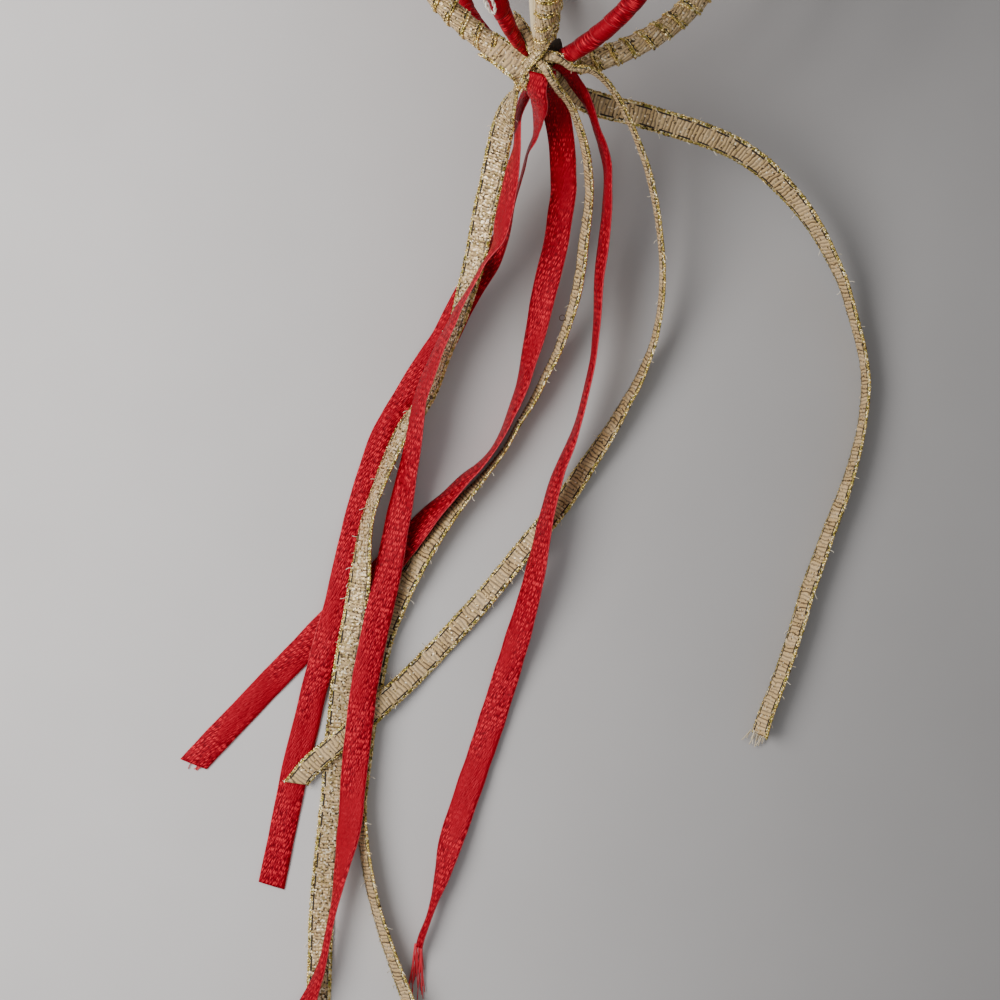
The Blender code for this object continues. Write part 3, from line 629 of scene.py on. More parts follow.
# how much a ribbon's width and cup change along it, and how often in a metre
uneven = {
    "widthBy": 0.04, "widthOften": 400, "cupBy": 0.9, "cupOften": 110, "pinchCup": 0.35 * mm, "cupDown": 0.6,
    "leanOften": 90, "rippleOften": 260, "rippleAcross": 3.2, "endReach": 4 * mm,
}


# one ribbon as a thin closed band along a route; returns its object, its middle line and its two edges
def ribbonBand(points, look, material, seed):
    placed, length = smoothRoute(points, look["step"])
    line = [spot.to_3d() for spot in placed]
    columns = look["columns"]
    bm = bmesh.new()
    layer = bm.loops.layers.uv.new("UVMap")
    rings = []
    edges = ([], [])
    for index, here in enumerate(line):
        along = direction(line, index)
        flat = Vector((0, 0, 1)).cross(along)
        flat.normalize()
        up = along.cross(flat)
        travel = length * index / (len(line) - 1)
        drift = noise.noise(Vector((travel * uneven["leanOften"], seed, 0.0)))
        lean = placed[index][3] + look["twist"] * drift
        side = flat * math.cos(lean) + up * math.sin(lean)
        normal = up * math.cos(lean) - flat * math.sin(lean)
        pinch = shareAt(look["narrow"], travel / mm)
        swell = noise.noise(Vector((travel * uneven["widthOften"], seed, 5.0)))
        width = look["width"] * pinch * (1 + uneven["widthBy"] * swell)
        fade = max(0.0, 1 - (length - travel) / uneven["endReach"])
        hollow = noise.noise(Vector((travel * uneven["cupOften"], seed, 9.0)))
        cup = look["cup"] * (1 + uneven["cupBy"] * hollow) + (1 - pinch) * uneven["pinchCup"]
        ring = []
        for face in (1, -1):
            order = range(columns) if face == 1 else range(columns - 1, -1, -1)
            for column in order:
                u = column / (columns - 1)
                across = (u - 0.5) * width
                bend = cup * (1 - (2 * u - 1) ** 2) - cup * uneven["cupDown"]
                wave = Vector((u * uneven["rippleAcross"], travel * uneven["rippleOften"], seed))
                ripple = look["ripple"] * noise.noise(wave)
                thick = look["thickness"] / 2 * (1.0 if 0 < column < columns - 1 else look["edge"])
                skew = look["skew"] * (u - 0.5) * width * fade
                place = here + side * across + normal * (bend + ripple + face * thick) + along * skew
                place.z = max(place.z, tableGap)
                ring.append((bm.verts.new(place), u, (travel + skew) / mm))
        rings.append(ring)
        edges[0].append(tuple(ring[0][0].co * 0.5 + ring[-1][0].co * 0.5))
        edges[1].append(tuple(ring[columns - 1][0].co * 0.5 + ring[columns][0].co * 0.5))
    around = 2 * columns
    for first, second in zip(rings, rings[1:]):
        for index in range(around):
            there = (index + 1) % around
            addFace(bm, layer, (first[index], first[there], second[there], second[index]))
    for ring, turned in ((rings[0], True), (rings[-1], False)):
        for index in range(columns - 1):
            corners = [ring[index], ring[index + 1], ring[around - 2 - index], ring[around - 1 - index]]
            if turned:
                corners.reverse()
            addFace(bm, layer, corners)
    bmesh.ops.recalc_face_normals(bm, faces=bm.faces)
    return makeObject("band", bm, [material]), [tuple(here) for here in line], edges


# each corner is a vertex with its place across and along the ribbon
def addFace(bm, layer, corners, ahead=(0, 0, 0, 0)):
    face = bm.faces.new([corner for corner, u, v in corners])
    for loop, (corner, u, v), more in zip(face.loops, corners, ahead):
        loop[layer].uv = (u, v + more)


def pathObject(lines):
    mesh = bpy.data.meshes.new("line")
    points = []
    links = []
    for line in lines:
        start = len(points)
        points.extend(line)
        links.extend((start + index, start + index + 1) for index in range(len(line) - 1))
    mesh.from_pydata(points, links, [])
    thing = bpy.data.objects.new("line", mesh)
    bpy.context.scene.collection.objects.link(thing)
    return thing


# runs a node tree on lines and leaves its result as a plain mesh
def grow(lines, tree, values):
    thing = pathObject(lines)
    modifier = thing.modifiers.new(tree.name, "NODES")
    modifier.node_group = tree
    for item in tree.interface.items_tree:
        if item.in_out == "INPUT" and item.name in values:
            modifier[item.identifier] = values[item.name]
    bpy.context.view_layer.update()
    graph = bpy.context.evaluated_depsgraph_get()
    mesh = bpy.data.meshes.new_from_object(thing.evaluated_get(graph), depsgraph=graph)
    bpy.data.objects.remove(thing)
    made = bpy.data.objects.new(tree.name, mesh)
    bpy.context.scene.collection.objects.link(made)
    return made


# a tree that makes a shape: a geometry and a material go in with the sizes
def shapeTree(name, sizes):
    inputs = {"Geometry": "Geometry", **sizes, "Material": "Material"}
    return groupTree(name, "GeometryNodeTree", inputs, {"Geometry": "Geometry"})


def endTree(tree, given, out, geometry):
    realize = newNode(tree, "GeometryNodeRealizeInstances", {0: geometry})
    finish = newNode(tree, "GeometryNodeSetMaterial", {"Geometry": realize, "Material": given["Material"]})
    plug(out["Geometry"], finish)
    return tree


# copies of a shape along a line, each tilted and turned its own way, with its tint kept on it
def scatter(tree, given, tilt, shape, size, tint):
    curve = newNode(tree, "GeometryNodeMeshToCurve", {"Mesh": given["Geometry"]})
    spaced = {"Curve": curve, "Length": given["Spacing"]}
    points = newNode(tree, "GeometryNodeResampleCurve", spaced, mode="LENGTH")
    tangent = newNode(tree, "GeometryNodeInputTangent")
    align = newNode(tree, "FunctionNodeAlignRotationToVector", {"Vector": tangent}, axis="Z")
    least = joinXyz(tilt * -1.0, tilt * -1.0, 0.0)
    limits = {0: least, 1: joinXyz(tilt, tilt, 6.28), "Seed": given["Seed"]}
    shake = newNode(tree, "FunctionNodeRandomValue", limits, data_type="FLOAT_VECTOR")
    turn = newNode(tree, "FunctionNodeRotateRotation", {0: align, 1: shake}, rotation_space="LOCAL")
    copies = {"Points": points, "Instance": shape, "Rotation": turn, "Scale": size}
    placed = newNode(tree, "GeometryNodeInstanceOnPoints", copies)
    stored = {"Geometry": placed, "Name": "tint", "Value": tint}
    return newNode(tree, "GeometryNodeStoreNamedAttribute", stored, data_type="FLOAT", domain="INSTANCE")


# a random share for each copy
def randomShare(seed, least, most):
    return flowNode("FunctionNodeRandomValue", {2: least, 3: most, "Seed": seed}, 1, data_type="FLOAT")


# glittering beads along an edge, each tilted and tinted its own way
def makeBeadTree():
    sizes = {"Spacing": 0.33 * mm, "Bead Size": 0.15 * mm, "Stretch": 1.9, "Tilt": 0.6, "Seed": 1}
    tree, given, out = shapeTree("edgeBeads", sizes)
    bead = newNode(tree, "GeometryNodeMeshIcoSphere", {"Subdivisions": 1, "Radius": given["Bead Size"]})
    size = joinXyz(1.0, 0.75, given["Stretch"])
    tint = randomShare(given["Seed"] + 7.0, 0.0, 1.0)
    return endTree(tree, given, out, scatter(tree, given, given["Tilt"], bead, size, tint))


# fine hairs standing off a line
def makeFibreTree():
    sizes = {
        "Spacing": 2.2 * mm, "Fibre Length": 0.9 * mm, "Thickness": 0.035 * mm, "Spread": 1.3, "Seed": 1,
    }
    tree, given, out = shapeTree("strayFibres", sizes)
    hair = newNode(tree, "GeometryNodeCurvePrimitiveBezierSegment", {
        "Resolution": 4, "Start": (0, 0, 0), "Start Handle": (0.1, 0.0, 0.35),
        "End Handle": (0.35, 0.1, 0.7), "End": (0.15, 0.25, 1.0),
    })
    share = randomShare(given["Seed"] + 3.0, 0.4, 1.0)
    hairs = scatter(tree, given, given["Spread"], hair, share * given["Fibre Length"], share)
    realize = newNode(tree, "GeometryNodeRealizeInstances", {0: hairs})
    section = {"Resolution": 3, "Radius": given["Thickness"]}
    circle = newNode(tree, "GeometryNodeCurvePrimitiveCircle", section)
    inputs = {"Curve": realize, "Profile Curve": circle, "Fill Caps": True}
    return endTree(tree, given, out, newNode(tree, "GeometryNodeCurveToMesh", inputs))


windingColumns = 7  # corners across the wound ribbon
polePower = 12.0  # how suddenly the ribs run out along the ball's axis at their ends
wander = {"around": 0.55, "across": 1.3, "latitude": 0.03}  # how the winding strays from its even turns


# a flat ribbon wound round a rib of the ball
def makeWindingTree():
    tree, given, out = shapeTree("woundRibbon", {
        "Rib Angle": 0.0, "Rib Bow": 0.0, "Wraps": 25.0, "Steps": 500,
        "Ribbon Width": 2.6 * mm, "Rod Radius": 1.0 * mm, "Lift": 0.2 * mm, "Puff": 0.08 * mm,
        "Looseness": 0.08 * mm, "Slant": 0.25, "Knot Taper": 0.72, "Taper Start": 1.15, "Seed": 1.0,
    })
    radius = ball["radius"]
    end = math.radians(ball["endLatitude"])
    steps = {"Vertices X": given["Steps"], "Vertices Y": windingColumns}
    grid = newNode(tree, "GeometryNodeMeshGrid", steps)
    x, v, _ = splitXyz(tree, newNode(tree, "GeometryNodeInputPosition"))
    cosine = calc("COSINE", given["Slant"])
    width = v * given["Ribbon Width"]
    turns = x * given["Wraps"] * math.tau
    flow = joinXyz(turns * wander["around"], v * wander["across"], given["Seed"])
    loose = cloudNoise(flow, 1.0) - 0.5
    halfWidth = given["Ribbon Width"] * cosine / (2 * radius)
    latitude = x * 2.0 * (end - halfWidth) + width * cosine / radius + loose * wander["latitude"]
    around = turns - width * calc("SINE", given["Slant"]) / given["Rod Radius"]
    reach = given["Rod Radius"] + given["Lift"] * (0.5 - v) + (1.0 - v * v * 4.0) * given["Puff"]
    reach = reach + loose * (given["Looseness"] * 2.0)
    # the end at the free ribbons, at negative latitudes, may be drawn in earlier than the far end
    farStart = math.radians(ball["taperLatitude"])
    for side, start, left in (
        (-1.0, given["Taper Start"], given["Knot Taper"]), (1.0, farStart, ball["farTaper"]),
    ):
        lost = calc("DIVIDE", latitude * side - start, end - start, clamp=True) * (1.0 - left)
        reach = reach * (1.0 - lost)
    cosLat = calc("COSINE", latitude)
    sinLat = calc("SINE", latitude)
    axial = radius + calc("POWER", calc("ABSOLUTE", sinLat), polePower) * ball["polePull"]
    outSwing = reach * calc("COSINE", around)
    radial = cosLat * radius + outSwing * cosLat
    along = axial * sinLat + outSwing * sinLat
    sideways = reach * calc("SINE", around)
    turned = given["Rib Angle"] + given["Rib Bow"] * calc("SQRT", cosLat)
    sinRib = calc("SINE", turned)
    cosRib = calc("COSINE", turned)
    placeX = radial * sinRib + sideways * cosRib
    placeZ = calc("MAXIMUM", radial * cosRib - sideways * sinRib + ball["height"], tubeGap)
    travel = x * given["Wraps"] * (given["Rod Radius"] * (1000.0 * math.tau))
    inputs = {"Geometry": grid, "Name": "UVMap", "Value": joinXyz(v + 0.5, travel, 0.0)}
    store = newNode(tree, "GeometryNodeStoreNamedAttribute", inputs, data_type="FLOAT2", domain="CORNER")
    inputs = {"Geometry": store, "Position": joinXyz(placeX, along, placeZ)}
    return endTree(tree, given, out, newNode(tree, "GeometryNodeSetPosition", inputs))


beadTree = makeBeadTree()
fibreTree = makeFibreTree()
windingTree = makeWindingTree()


def edgeBeads(lines, spacing, size, seed):
    values = {"Spacing": spacing, "Bead Size": size, "Seed": seed, "Material": goldEdge}
    return grow(lines, beadTree, values)


def edgeFuzz(lines, spacing, length, seed):
    values = {"Spacing": spacing, "Fibre Length": length, "Seed": seed, "Material": beigeFibre}
    return grow(lines, fibreTree, values)


def declare(thing, node):
    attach(thing, "root")
    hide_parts(node)


# the eight ribs
goldRib = {
    "wraps": 26.0, "rod": 1.02 * mm, "ribbonWidth": 2.55 * mm, "lift": 0.20 * mm, "puff": 0.05 * mm,
    "looseness": 0.07 * mm, "slant": 0.26, "knotTaper": 0.86, "beadSpacing": 0.31 * mm,
    "beadSize": 0.16 * mm, "fuzzSpacing": 2.6 * mm, "fuzz": 0.7 * mm, "look": ribBraid, "core": beigeFibre,
    "slot": "gold_braid",
}
redRib = {
    "wraps": 22.0, "rod": 0.84 * mm, "ribbonWidth": 2.9 * mm, "lift": 0.16 * mm, "puff": 0.05 * mm,
    "looseness": 0.05 * mm, "slant": 0.34, "knotTaper": 0.74, "look": ribSatin, "core": redFibre,
    "slot": "red_satin",
}
# each winding's steps for a turn and thickness; the core's stations, share of the rod and tint
making = {"stepsEachWrap": 22, "thickness": 0.08 * mm, "stations": 60, "coreShare": 0.72, "coreTint": 0.25}
ribBows = {"red_rib_bottom_right": -30.0}
# ribs that are drawn in at the lashing: the latitude where it starts and the share that is left
drawnIn = {"gold_rib_top": (52.0, 0.42), "red_rib_top_left": (58.0, 0.52), "red_rib_top_right": (68.0, 0.80)}
ribAngles = {
    "gold_rib_top": 0.0, "gold_rib_right": 90.0, "gold_rib_bottom": 180.0, "gold_rib_left": 270.0,
    "red_rib_top_right": 43.0, "red_rib_bottom_right": 136.0, "red_rib_bottom_left": 224.0,
    "red_rib_top_left": 330.0,
}
# bare straws beside the front rib: millimetres beside it, then where they start and step, in degrees
straws = {
    "sideways": (-1.35, -1.75, -2.1), "start": -72, "step": 2.2, "count": 26, "away": 0.1 * mm,
    "sink": 0.25 * mm, "narrowFrom": 0.45, "narrowStep": 0.05, "radius": 0.2 * mm, "sides": 8,
}


def ribAxes(angle):
    return Vector((math.sin(angle), 0, math.cos(angle))), Vector((math.cos(angle), 0, -math.sin(angle)))


def ribMiddle(angle, latitude, away=0.0, sideways=0.0, bow=0.0):
    outwards, across = ribAxes(angle + bow * math.sqrt(max(0.0, math.cos(latitude))))
    reach = ball["radius"] + ball["polePull"] * abs(math.sin(latitude)) ** polePower
    nose = outwards * math.cos(latitude) + Vector((0, math.sin(latitude), 0))
    place = outwards * ball["radius"] * math.cos(latitude)
    place = place + Vector((0, reach * math.sin(latitude), ball["height"]))
    return place + nose * away + across * sideways


sideHelp = Vector((0.31, 0.17, 0.93))  # a direction that no tube runs in


def tube(line, radius, material, sides=10, tintValue=0.5):
    bm = bmesh.new()
    tint = bm.verts.layers.float.new("tint")
    rings = []
    for index, here in enumerate(line):
        along = direction(line, index)
        side = along.cross(sideHelp).normalized()
        other = along.cross(side)
        size = radius[index] if isinstance(radius, list) else radius
        ring = []
        for step in range(sides):
            turn = math.tau * step / sides
            spot = Vector(here) + (side * math.cos(turn) + other * math.sin(turn)) * size
            spot.z = max(spot.z, tubeGap)
            corner = bm.verts.new(spot)
            corner[tint] = tintValue
            ring.append(corner)
        rings.append(ring)
    for first, second in zip(rings, rings[1:]):
        for step in range(sides):
            after = (step + 1) % sides
            bm.faces.new((first[step], first[after], second[after], second[step]))
    bm.faces.new(rings[0])
    bm.faces.new(reversed(rings[-1]))
    bmesh.ops.recalc_face_normals(bm, faces=bm.faces)
    return makeObject("tube", bm, [material])


def thicken(thing, depth, angle, bow):
    # a second layer nearer the rib's middle line, joined to the first along the edges
    bm = bmesh.new()
    bm.from_mesh(thing.data)
    layer = bm.loops.layers.uv["UVMap"]
    inner = {}
    for corner in list(bm.verts):
        arm = corner.co - Vector((0, 0, ball["height"]))
        latitude = math.atan2(arm.y, math.hypot(arm.x, arm.z))
        middle = ribMiddle(angle, latitude, bow=bow)
        inner[corner] = bm.verts.new(corner.co + (middle - corner.co).normalized() * depth)
    for face in list(bm.faces):
        under = bm.faces.new([inner[corner] for corner in reversed(face.verts)])
        under.material_index = face.material_index
        for loop, over in zip(under.loops, reversed(list(face.loops))):
            loop[layer].uv = over[layer].uv
        for loop in face.loops:
            if len(loop.edge.link_faces) == 1:
                ahead = loop.link_loop_next
                rim = bm.faces.new((ahead.vert, loop.vert, inner[loop.vert], inner[ahead.vert]))
                rim.material_index = face.material_index
                for place, source in zip(rim.loops, (ahead, loop, loop, ahead)):
                    place[layer].uv = source[layer].uv
    bmesh.ops.recalc_face_normals(bm, faces=bm.faces)
    bm.to_mesh(thing.data)
    bm.free()


def wrapEdge(winding, steps, column):
    # the grid keeps its order: all corners across for each step along
    corners = winding.data.vertices
    return [tuple(corners[index * windingColumns + column].co) for index in range(steps)]


def ribCore(rib, angle, bow, ends):
    # what shows of the core beside the lashings is a first layer of the same ribbon
    line = []
    sizes = []
    for index in range(making["stations"] + 1):
        latitude = (2 * index / making["stations"] - 1) * ball["endLatitude"]
        line.append(ribMiddle(angle, math.radians(latitude), bow=bow))
        size = rib["rod"] * making["coreShare"]
        for side, start, left in ends:
            size *= 1 - (1 - left) * clampShare((side * latitude - start) / (ball["endLatitude"] - start))
        sizes.append(size)
    return tube(line, sizes, rib["core"], tintValue=making["coreTint"])


def bareStraw(number, sideways):
    line = []
    for index in range(straws["count"]):
        latitude = math.radians(straws["start"] + index * straws["step"] + number)
        narrow = min(1, straws["narrowFrom"] + index * straws["narrowStep"])
        away = straws["away"] - number * straws["sink"]
        line.append(ribMiddle(0.0, latitude, away, sideways * mm * narrow))
    return tube(line, straws["radius"], strawCore, straws["sides"], 0.2 + 0.35 * number)


for count, (ribName, degrees) in enumerate(ribAngles.items()):
    isGold = ribName.startswith("gold")
    rib = goldRib if isGold else redRib
    steps = int(rib["wraps"] * making["stepsEachWrap"])
    angle = math.radians(degrees)
    bow = math.radians(ribBows.get(ribName, 0.0))
    taperStart, taperTo = drawnIn.get(ribName, (ball["taperLatitude"], rib["knotTaper"]))
    winding = grow([[(0, 0, 0), (0, 0, 0.001)]], windingTree, {
        "Rib Angle": angle, "Rib Bow": bow, "Wraps": rib["wraps"], "Steps": steps,
        "Ribbon Width": rib["ribbonWidth"], "Rod Radius": rib["rod"], "Lift": rib["lift"],
        "Puff": rib["puff"], "Looseness": rib["looseness"], "Slant": rib["slant"],
        "Knot Taper": taperTo, "Taper Start": math.radians(taperStart), "Seed": 3.7 * count + 1.0,
        "Material": rib["look"],
    })
    made = [winding]
    if isGold:
        for row in (0, 1):
            line = wrapEdge(winding, steps, row)
            spacing = rib["beadSpacing"] * (1 + 0.5 * row)
            made.append(edgeBeads([line], spacing, rib["beadSize"] * (1 - 0.25 * row), 40 + count + 10 * row))
        made.append(edgeFuzz([wrapEdge(winding, steps, 0)], rib["fuzzSpacing"], rib["fuzz"], 60 + count))
    thicken(winding, making["thickness"], angle, bow)
    ends = ((-1, taperStart, taperTo), (1, ball["taperLatitude"], ball["farTaper"]))
    made.append(ribCore(rib, angle, bow, ends))
    if ribName == "gold_rib_top":
        made.extend(bareStraw(number, sideways) for number, sideways in enumerate(straws["sideways"]))
    declare(joinInto(ribName + "_dressed", made), ribName)
print("stage: ribs")

# the free ends
braidTail = {
    "width": 2.6 * mm, "thickness": 0.24 * mm, "step": 0.25 * mm, "columns": 9, "edge": 0.8, "twist": 0.05,
    "cup": 0.05 * mm, "ripple": 0.05 * mm, "narrow": [(0, 1.0)], "skew": 0.0,
}
satinTail = {
    "width": 3.0 * mm, "thickness": 0.14 * mm, "step": 0.4 * mm, "columns": 9, "edge": 0.7, "twist": 0.06,
    "cup": 0.10 * mm, "ripple": 0.10 * mm,
}
# foil beads and hairs along the braid's edges, and the thickness that lifts a lying ribbon
edging = {
    "beadSpacing": 0.33 * mm, "beadSize": 0.13 * mm, "fibreSpacing": 1.7 * mm, "fibre": 0.8 * mm,
    "lift": 0.3 * mm,
}
# amount of loose threads at a cut end, their length, how far they fan out and which way they lean
frays = {
    "gold_tail_outer": (16, 2.0 * mm, 0.7, 0.0),
    "red_tail_centre": (7, 1.2 * mm, 0.8, 0.0),
    "red_tail_right": (34, 6.6 * mm, 0.24, 0.26),
}
# one loose thread: where it starts, how it bends and settles, and its size
frayThread = {
    "across": 0.9, "back": 0.3 * mm, "scatter": 0.1 * mm, "lowest": 0.12 * mm, "shortest": 0.35, "bend": 0.12,
    "steps": 8, "settle": 0.85, "bounce": 0.02 * mm, "rest": 0.07 * mm, "radius": 0.05 * mm, "sides": 5,
}
# one thread of the middle braid that has sprung out, turning round a centre
curl = {
    "from": (7.9, -42.9, 3.1), "centre": (7.25, -42.55, 3.4), "size": 0.38, "shrink": 0.008, "drop": 0.02,
    "start": -0.6, "aroundIn": 13, "count": 15, "radius": 0.045 * mm, "sides": 6,
}
# share of the full width that shows, by millimetres from the lashing, where a ribbon is pinched or curled
narrowings = {
    "gold_tail_left": [(0, 0.42), (9, 0.42), (11.4, 0.30), (15, 0.92), (18, 1.0)],
    "gold_tail_middle": [(0, 0.35), (6, 0.42), (14, 0.60), (30, 0.70), (45, 0.85), (55, 1.0)],
    "gold_tail_right": [(0, 0.42), (5, 0.42), (12, 0.38), (28, 0.50), (36, 0.66), (48, 0.88)],
    "gold_tail_outer": [(0, 0.8), (6, 0.95), (30, 0.97), (48, 0.82), (66, 0.92), (92, 0.95)],
    "red_tail_left": [(0, 0.5), (5, 0.8), (8, 1.0), (86, 1.0), (98, 0.52), (104, 0.6), (110, 0.9)],
    "red_tail_centre_left": [(0, 0.65), (3, 0.9), (6, 1.0)],
    "red_tail_centre": [(0, 0.5), (4, 0.7), (8, 1.0)],
    "red_tail_right": [(0, 0.45), (8, 0.52), (16, 0.70), (24, 1.0), (93, 1.0), (102, 0.34)],
}
# how slanting an end is cut
endSkew = {
    "gold_tail_right": -0.6, "red_tail_centre": -0.4, "red_tail_centre_left": 0.1, "gold_tail_outer": 0.1,
}


def ribbonPoints(route, width):
    points = []
    for x, y, lift, lean in route:
        turn = math.radians(lean)
        half = width / 2 * abs(math.sin(turn)) + edging["lift"] / 2 * abs(math.cos(turn))
        points.append((x * mm, y * mm, lift * mm + half, turn))
    return points


def frayedEnd(middle, width, amount, length, fan, lean, material, seed):
    # loose threads that leave the cut end
    picker = random.Random(seed)
    last = Vector(middle[-1])
    along = (last - Vector(middle[-6])).normalized()
    side = Vector((0, 0, 1)).cross(along).normalized()
    steps = frayThread["steps"]
    made = []
    for _ in range(amount):
        shift = (picker.random() - 0.5) * width * frayThread["across"]
        spot = last + side * shift - along * frayThread["back"]
        spot.z = max(frayThread["lowest"], spot.z + (picker.random() - 0.5) * frayThread["scatter"])
        heading = (along + side * ((picker.random() - 0.5) * fan + lean)).normalized()
        bendBy = (picker.random() - 0.5) * fan * 2
        line = []
        reach = length * (frayThread["shortest"] + (1 - frayThread["shortest"]) * picker.random())
        for step in range(steps + 1):
            line.append(tuple(spot))
            heading = (heading + side * bendBy * frayThread["bend"]).normalized()
            spot = spot + heading * reach / steps
            bounce = frayThread["bounce"] * picker.random()
            spot.z = max(frayThread["rest"], spot.z * frayThread["settle"] + bounce)
        made.append(tube(line, frayThread["radius"], material, frayThread["sides"], picker.random()))
    return made


def curlThread():
    line = [Vector(curl["from"]) * mm]
    for step in range(curl["count"]):
        turn = curl["start"] + math.tau * step / curl["aroundIn"]
        size = curl["size"] - curl["shrink"] * step
        swing = Vector((size * math.cos(turn), size * math.sin(turn), -curl["drop"] * step))
        line.append((Vector(curl["centre"]) + swing) * mm)
    return tube(line, curl["radius"], darkThreadAndPaintedShade, curl["sides"], 1.0)


for count, (tailName, route) in enumerate({**goldTailRoutes, **redTailRoutes}.items()):
    isGold = tailName.startswith("gold")
    look = dict(braidTail if isGold else satinTail)
    look["skew"] = endSkew.get(tailName, 0.0)
    look["narrow"] = narrowings[tailName]
    material = plainBraid if isGold else redSatin
    if tailName == "gold_tail_left":
        material = sparkBraid
    points = ribbonPoints(innerEnds[tailName] + route, look["width"])
    band, middle, edges = ribbonBand(points, look, material, count * 11.3)
    made = [band]
    if isGold:
        made.append(edgeBeads(edges, edging["beadSpacing"], edging["beadSize"], 80 + count))
        made.append(edgeFuzz(edges, edging["fibreSpacing"], edging["fibre"], 90 + count))
    whole = joinInto(tailName + "_dressed", made)
    declare(whole, tailName)
    threads = [curlThread()] if tailName == "gold_tail_middle" else []
    if tailName in frays:
        endWidth = look["width"] * look["narrow"][-1][1]
        fibre = beigeFibre if isGold else redFibre
        threads = frayedEnd(middle, endWidth, *frays[tailName], fibre, count)
    loose = [joinInto(tailName + "_frays", threads)] if threads else []
    for thing in loose:
        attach(thing, "root")
print("stage: free ends")

# the lashings: straps as lean and turn in degrees, and a strap's section as across and rise
lash = {
    "straps": [(62, 20), (118, -15), (35, 75)], "lift": 0.12, "liftEach": 0.08, "steps": 72, "sag": 0.12 * mm,
    "section": [
        (-0.8, 0.0), (-0.75, 0.12), (-0.4, 0.16), (0.0, 0.17), (0.4, 0.16), (0.75, 0.12), (0.8, 0.0),
        (0.7, -0.2), (-0.7, -0.2),
    ],
    "edges": (0, 6), "halfWidth": 0.8, "weaveAround": 2.3, "coreWeave": 2.2, "coreSpread": 0.2,
    "beadSpacing": 0.33 * mm, "beadSize": 0.13 * mm, "strandBead": 0.14 * mm, "strandCup": 0.15 * mm,
}
# loose strands over the lashing: points as in the routes, but with the height of the middle line
leftStrand = [
    (-5.6, -17.3, 18.9, 0), (-4.0, -18.1, 19.7, 0), (-2.6, -18.9, 20.1, 0),
    (-1.4, -19.6, 20.0, 10), (-0.7, -20.2, 18.8, 20), (-0.2, -20.5, 17.4, 30),
]
paleStrand = [
    (-3.4, -14.9, 22.6, 0), (-2.7, -15.3, 22.5, 0), (-2.0, -16.0, 22.5, 0),
    (-1.3, -16.9, 22.4, 5), (-0.5, -17.9, 22.0, 5), (0.3, -18.6, 21.4, 0),
]
# painted shade: a near-black tube in the hollow beside the right red rib, and two places where the foil
# catches the light
shadeTubeLine = [
    (1.75, -15.9, 20.6), (1.65, -16.3, 20.7), (1.55, -16.7, 20.7), (1.50, -17.1, 20.5), (1.40, -17.6, 20.2),
]
shadeTubeSizes = [0.15 * mm, 0.50 * mm, 0.75 * mm, 0.95 * mm, 0.60 * mm]
fleck = {"count": 6, "spread": 0.7 * mm, "rise": 0.4, "radius": 0.12 * mm, "more": 0.10 * mm}


def foilFlecks(place, seed):
    # a few flecks of the edge foil that catch the light
    picker = random.Random(seed)
    bm = bmesh.new()
    tint = bm.verts.layers.float.new("tint")
    for number in range(fleck["count"]):
        shift = Vector((picker.random() - 0.5, picker.random() - 0.5, fleck["rise"] * picker.random()))
        size = fleck["radius"] + fleck["more"] * picker.random()
        made = bmesh.ops.create_icosphere(bm, subdivisions=1, radius=size)
        for corner in made["verts"]:
            corner.co += Vector(place) * mm + shift * fleck["spread"]
            corner[tint] = 0.5 + 0.1 * number
    return makeObject("flecks", bm, [goldEdge])


def lashCore(centre):
    bm = bmesh.new()
    bmesh.ops.create_uvsphere(bm, u_segments=32, v_segments=18, radius=knotSpot["core"])
    layer = bm.loops.layers.uv.new("UVMap")
    for face in bm.faces:
        for loop in face.loops:
            spot = loop.vert.co
            across = 0.5 + lash["coreSpread"] * spot.z / knotSpot["core"]
            loop[layer].uv = (across, math.atan2(spot.y, spot.x) * lash["coreWeave"])
    bmesh.ops.translate(bm, vec=centre, verts=bm.verts)
    return makeObject("core", bm, [plainBraid])


# a strap once round the lump; returns it and its two edges
def lashStrap(centre, side, number, lean, turn):
    spin = Matrix.Rotation(math.radians(turn), 3, "Y") @ Matrix.Rotation(math.radians(-side * lean), 3, "X")
    reach = knotSpot["core"] + (lash["lift"] + lash["liftEach"] * number) * mm
    bm = bmesh.new()
    layer = bm.loops.layers.uv.new("UVMap")
    steps = lash["steps"]
    corners = len(lash["section"])
    rings = []
    for index in range(steps):
        around = math.tau * index / steps
        outwards = Vector((math.cos(around), math.sin(around), 0))
        sag = lash["sag"] * noise.noise(outwards * 2.0 + Vector((number, side, 0)))
        ring = []
        for across, rise in lash["section"]:
            spot = centre + spin @ (outwards * (reach + rise * mm + sag) + Vector((0, 0, across * mm)))
            share = (across + lash["halfWidth"]) / (2 * lash["halfWidth"])
            ring.append((bm.verts.new(spot), share, around * lash["weaveAround"]))
        rings.append(ring)
    for index in range(steps):
        first, second = rings[index], rings[(index + 1) % steps]
        lap = math.tau * lash["weaveAround"] if index == steps - 1 else 0.0
        for corner in range(corners):
            after = (corner + 1) % corners
            four = (first[corner], first[after], second[after], second[corner])
            addFace(bm, layer, four, (0, 0, lap, lap))
    bmesh.ops.recalc_face_normals(bm, faces=bm.faces)
    lines = [[tuple(ring[edge][0].co) for ring in rings + rings[:1]] for edge in lash["edges"]]
    return makeObject("strap", bm, [plainBraid]), lines


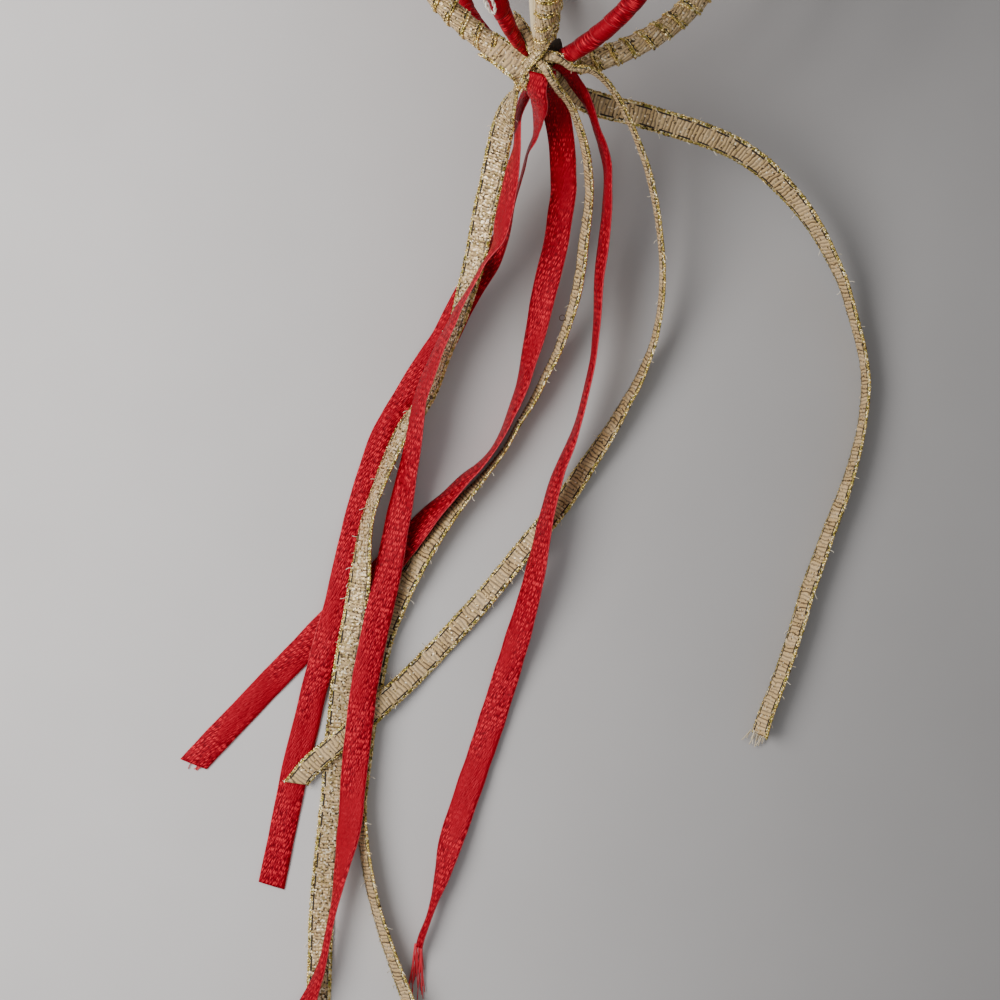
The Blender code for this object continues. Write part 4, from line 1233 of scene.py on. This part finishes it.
def lashing(name, side, strands, more):
    centre = Vector((0, side * knotSpot["distance"], ball["height"]))
    made = [lashCore(centre)] + more
    for number, (lean, turn) in enumerate(lash["straps"]):
        strap, lines = lashStrap(centre, side, number, lean, turn)
        made.append(strap)
        made.append(edgeBeads(lines, lash["beadSpacing"], lash["beadSize"], 20 + number))
    for route, width, material in strands:
        look = {**braidTail, "width": width, "cup": lash["strandCup"]}
        points = [(x * mm, y * mm, z * mm, math.radians(lean)) for x, y, z, lean in route]
        band, middle, edges = ribbonBand(points, look, material, 3.0 + len(made))
        made.append(band)
        made.append(edgeBeads(edges, lash["beadSpacing"], lash["strandBead"], 30 + len(made)))
    declare(joinInto(name + "_dressed", made), name)


# a near-black tube that paints the shade in the hollow by the knot
shadeTube = tube([Vector(spot) * mm for spot in shadeTubeLine], shadeTubeSizes, darkThreadAndPaintedShade)
flecks = [foilFlecks((0.15, -18.05, 22.6), 5), foilFlecks((-1.35, -21.5, 18.9), 6)]
strands = [(leftStrand, 2.8 * mm, wrapBraid), (paleStrand, 1.1 * mm, plainBraid)]
lashing("bottom_knot", -1, strands, [shadeTube] + flecks)
lashing("top_knot", 1, [], [])
print("stage: lashings")

# the thin doubled thread along one red rib, between two latitudes and round a bight
loopThread = {
    "diameter": 0.4 * mm, "spread": 0.9 * mm, "ply": 0.11 * mm, "plyShare": 0.85, "lay": 1.3 * mm, "sides": 7,
    "step": 0.3 * mm, "rise": 1.4 * mm, "latitudes": (*range(78, -55, -10), -55), "bight": -57.5,
    "beyond": 1.9 * mm, "above": 2.6 * mm, "rib": "red_rib_top_left",
}


def threadLine():
    angle = math.radians(ribAngles[loopThread["rib"]])
    half = loopThread["spread"] / 2
    outwards, across = ribAxes(angle)
    away = Vector((0, 0, ball["height"])) + Vector((0, knotSpot["distance"] + loopThread["beyond"], 0))
    away = away + outwards * loopThread["above"]

    def along(latitude, sideways):
        return ribMiddle(angle, math.radians(latitude), loopThread["rise"], sideways)

    out = [along(latitude, -half) for latitude in loopThread["latitudes"]]
    back = [along(latitude, half) for latitude in reversed(loopThread["latitudes"])]
    whole = [away - across * half] + out + [along(loopThread["bight"], 0)] + back + [away + across * half]
    return smoothRoute([(*spot, 0.0) for spot in whole], loopThread["step"])


spots, threadLength = threadLine()
line = [spot.to_3d() for spot in spots]
plies = []
for ply in range(2):
    twisted = []
    for index, here in enumerate(line):
        along = direction(line, index)
        side = along.cross(sideHelp).normalized()
        turn = math.tau * index * loopThread["step"] / loopThread["lay"] + math.pi * ply
        swing = side * math.cos(turn) + along.cross(side) * math.sin(turn)
        twisted.append(here + swing * loopThread["ply"] * loopThread["plyShare"])
    plies.append(tube(twisted, loopThread["ply"], creamThread, loopThread["sides"], 0.35 + 0.5 * ply))
loopWhole = joinInto("hanging_thread_dressed", plies)
declare(loopWhole, "hanging_thread_loop")
print("stage: thread")

# the pale table, with painted shade that makes it a little darker to the picture's right
table = {
    "size": 2.0, "stains": 60.0, "first": (0.605, 0.585, 0.575), "second": (0.630, 0.610, 0.600),
    "shadeFrom": -0.055, "shadeTo": 0.060, "shade": (0.50, 0.50, 0.50, 1), "roughness": 0.8,
}
bm = bmesh.new()
bmesh.ops.create_grid(bm, x_segments=1, y_segments=1, size=table["size"])
tableMaterial, tree, shader = startMaterial("paleTable")
place = Flow(newNode(tree, "ShaderNodeTexCoord").outputs["Object"])
cloud = cloudNoise(place, table["stains"], 3.0)
surface = ramp(cloud, [(0.3, table["first"]), (0.7, table["second"])])
x, y, _ = splitXyz(tree, place)
turn = math.radians(view["turn"])
toRight = x * math.cos(turn) + y * math.sin(turn)
shaded = mixColour(1.0, surface, table["shade"], "MULTIPLY")
share = softStep(toRight, table["shadeFrom"], table["shadeTo"])
plug(shader.inputs["Base Color"], mixColour(share, surface, shaded))
plug(shader.inputs["Roughness"], table["roughness"])
makeObject("tableTop", bm, [tableMaterial])
print("stage: table")
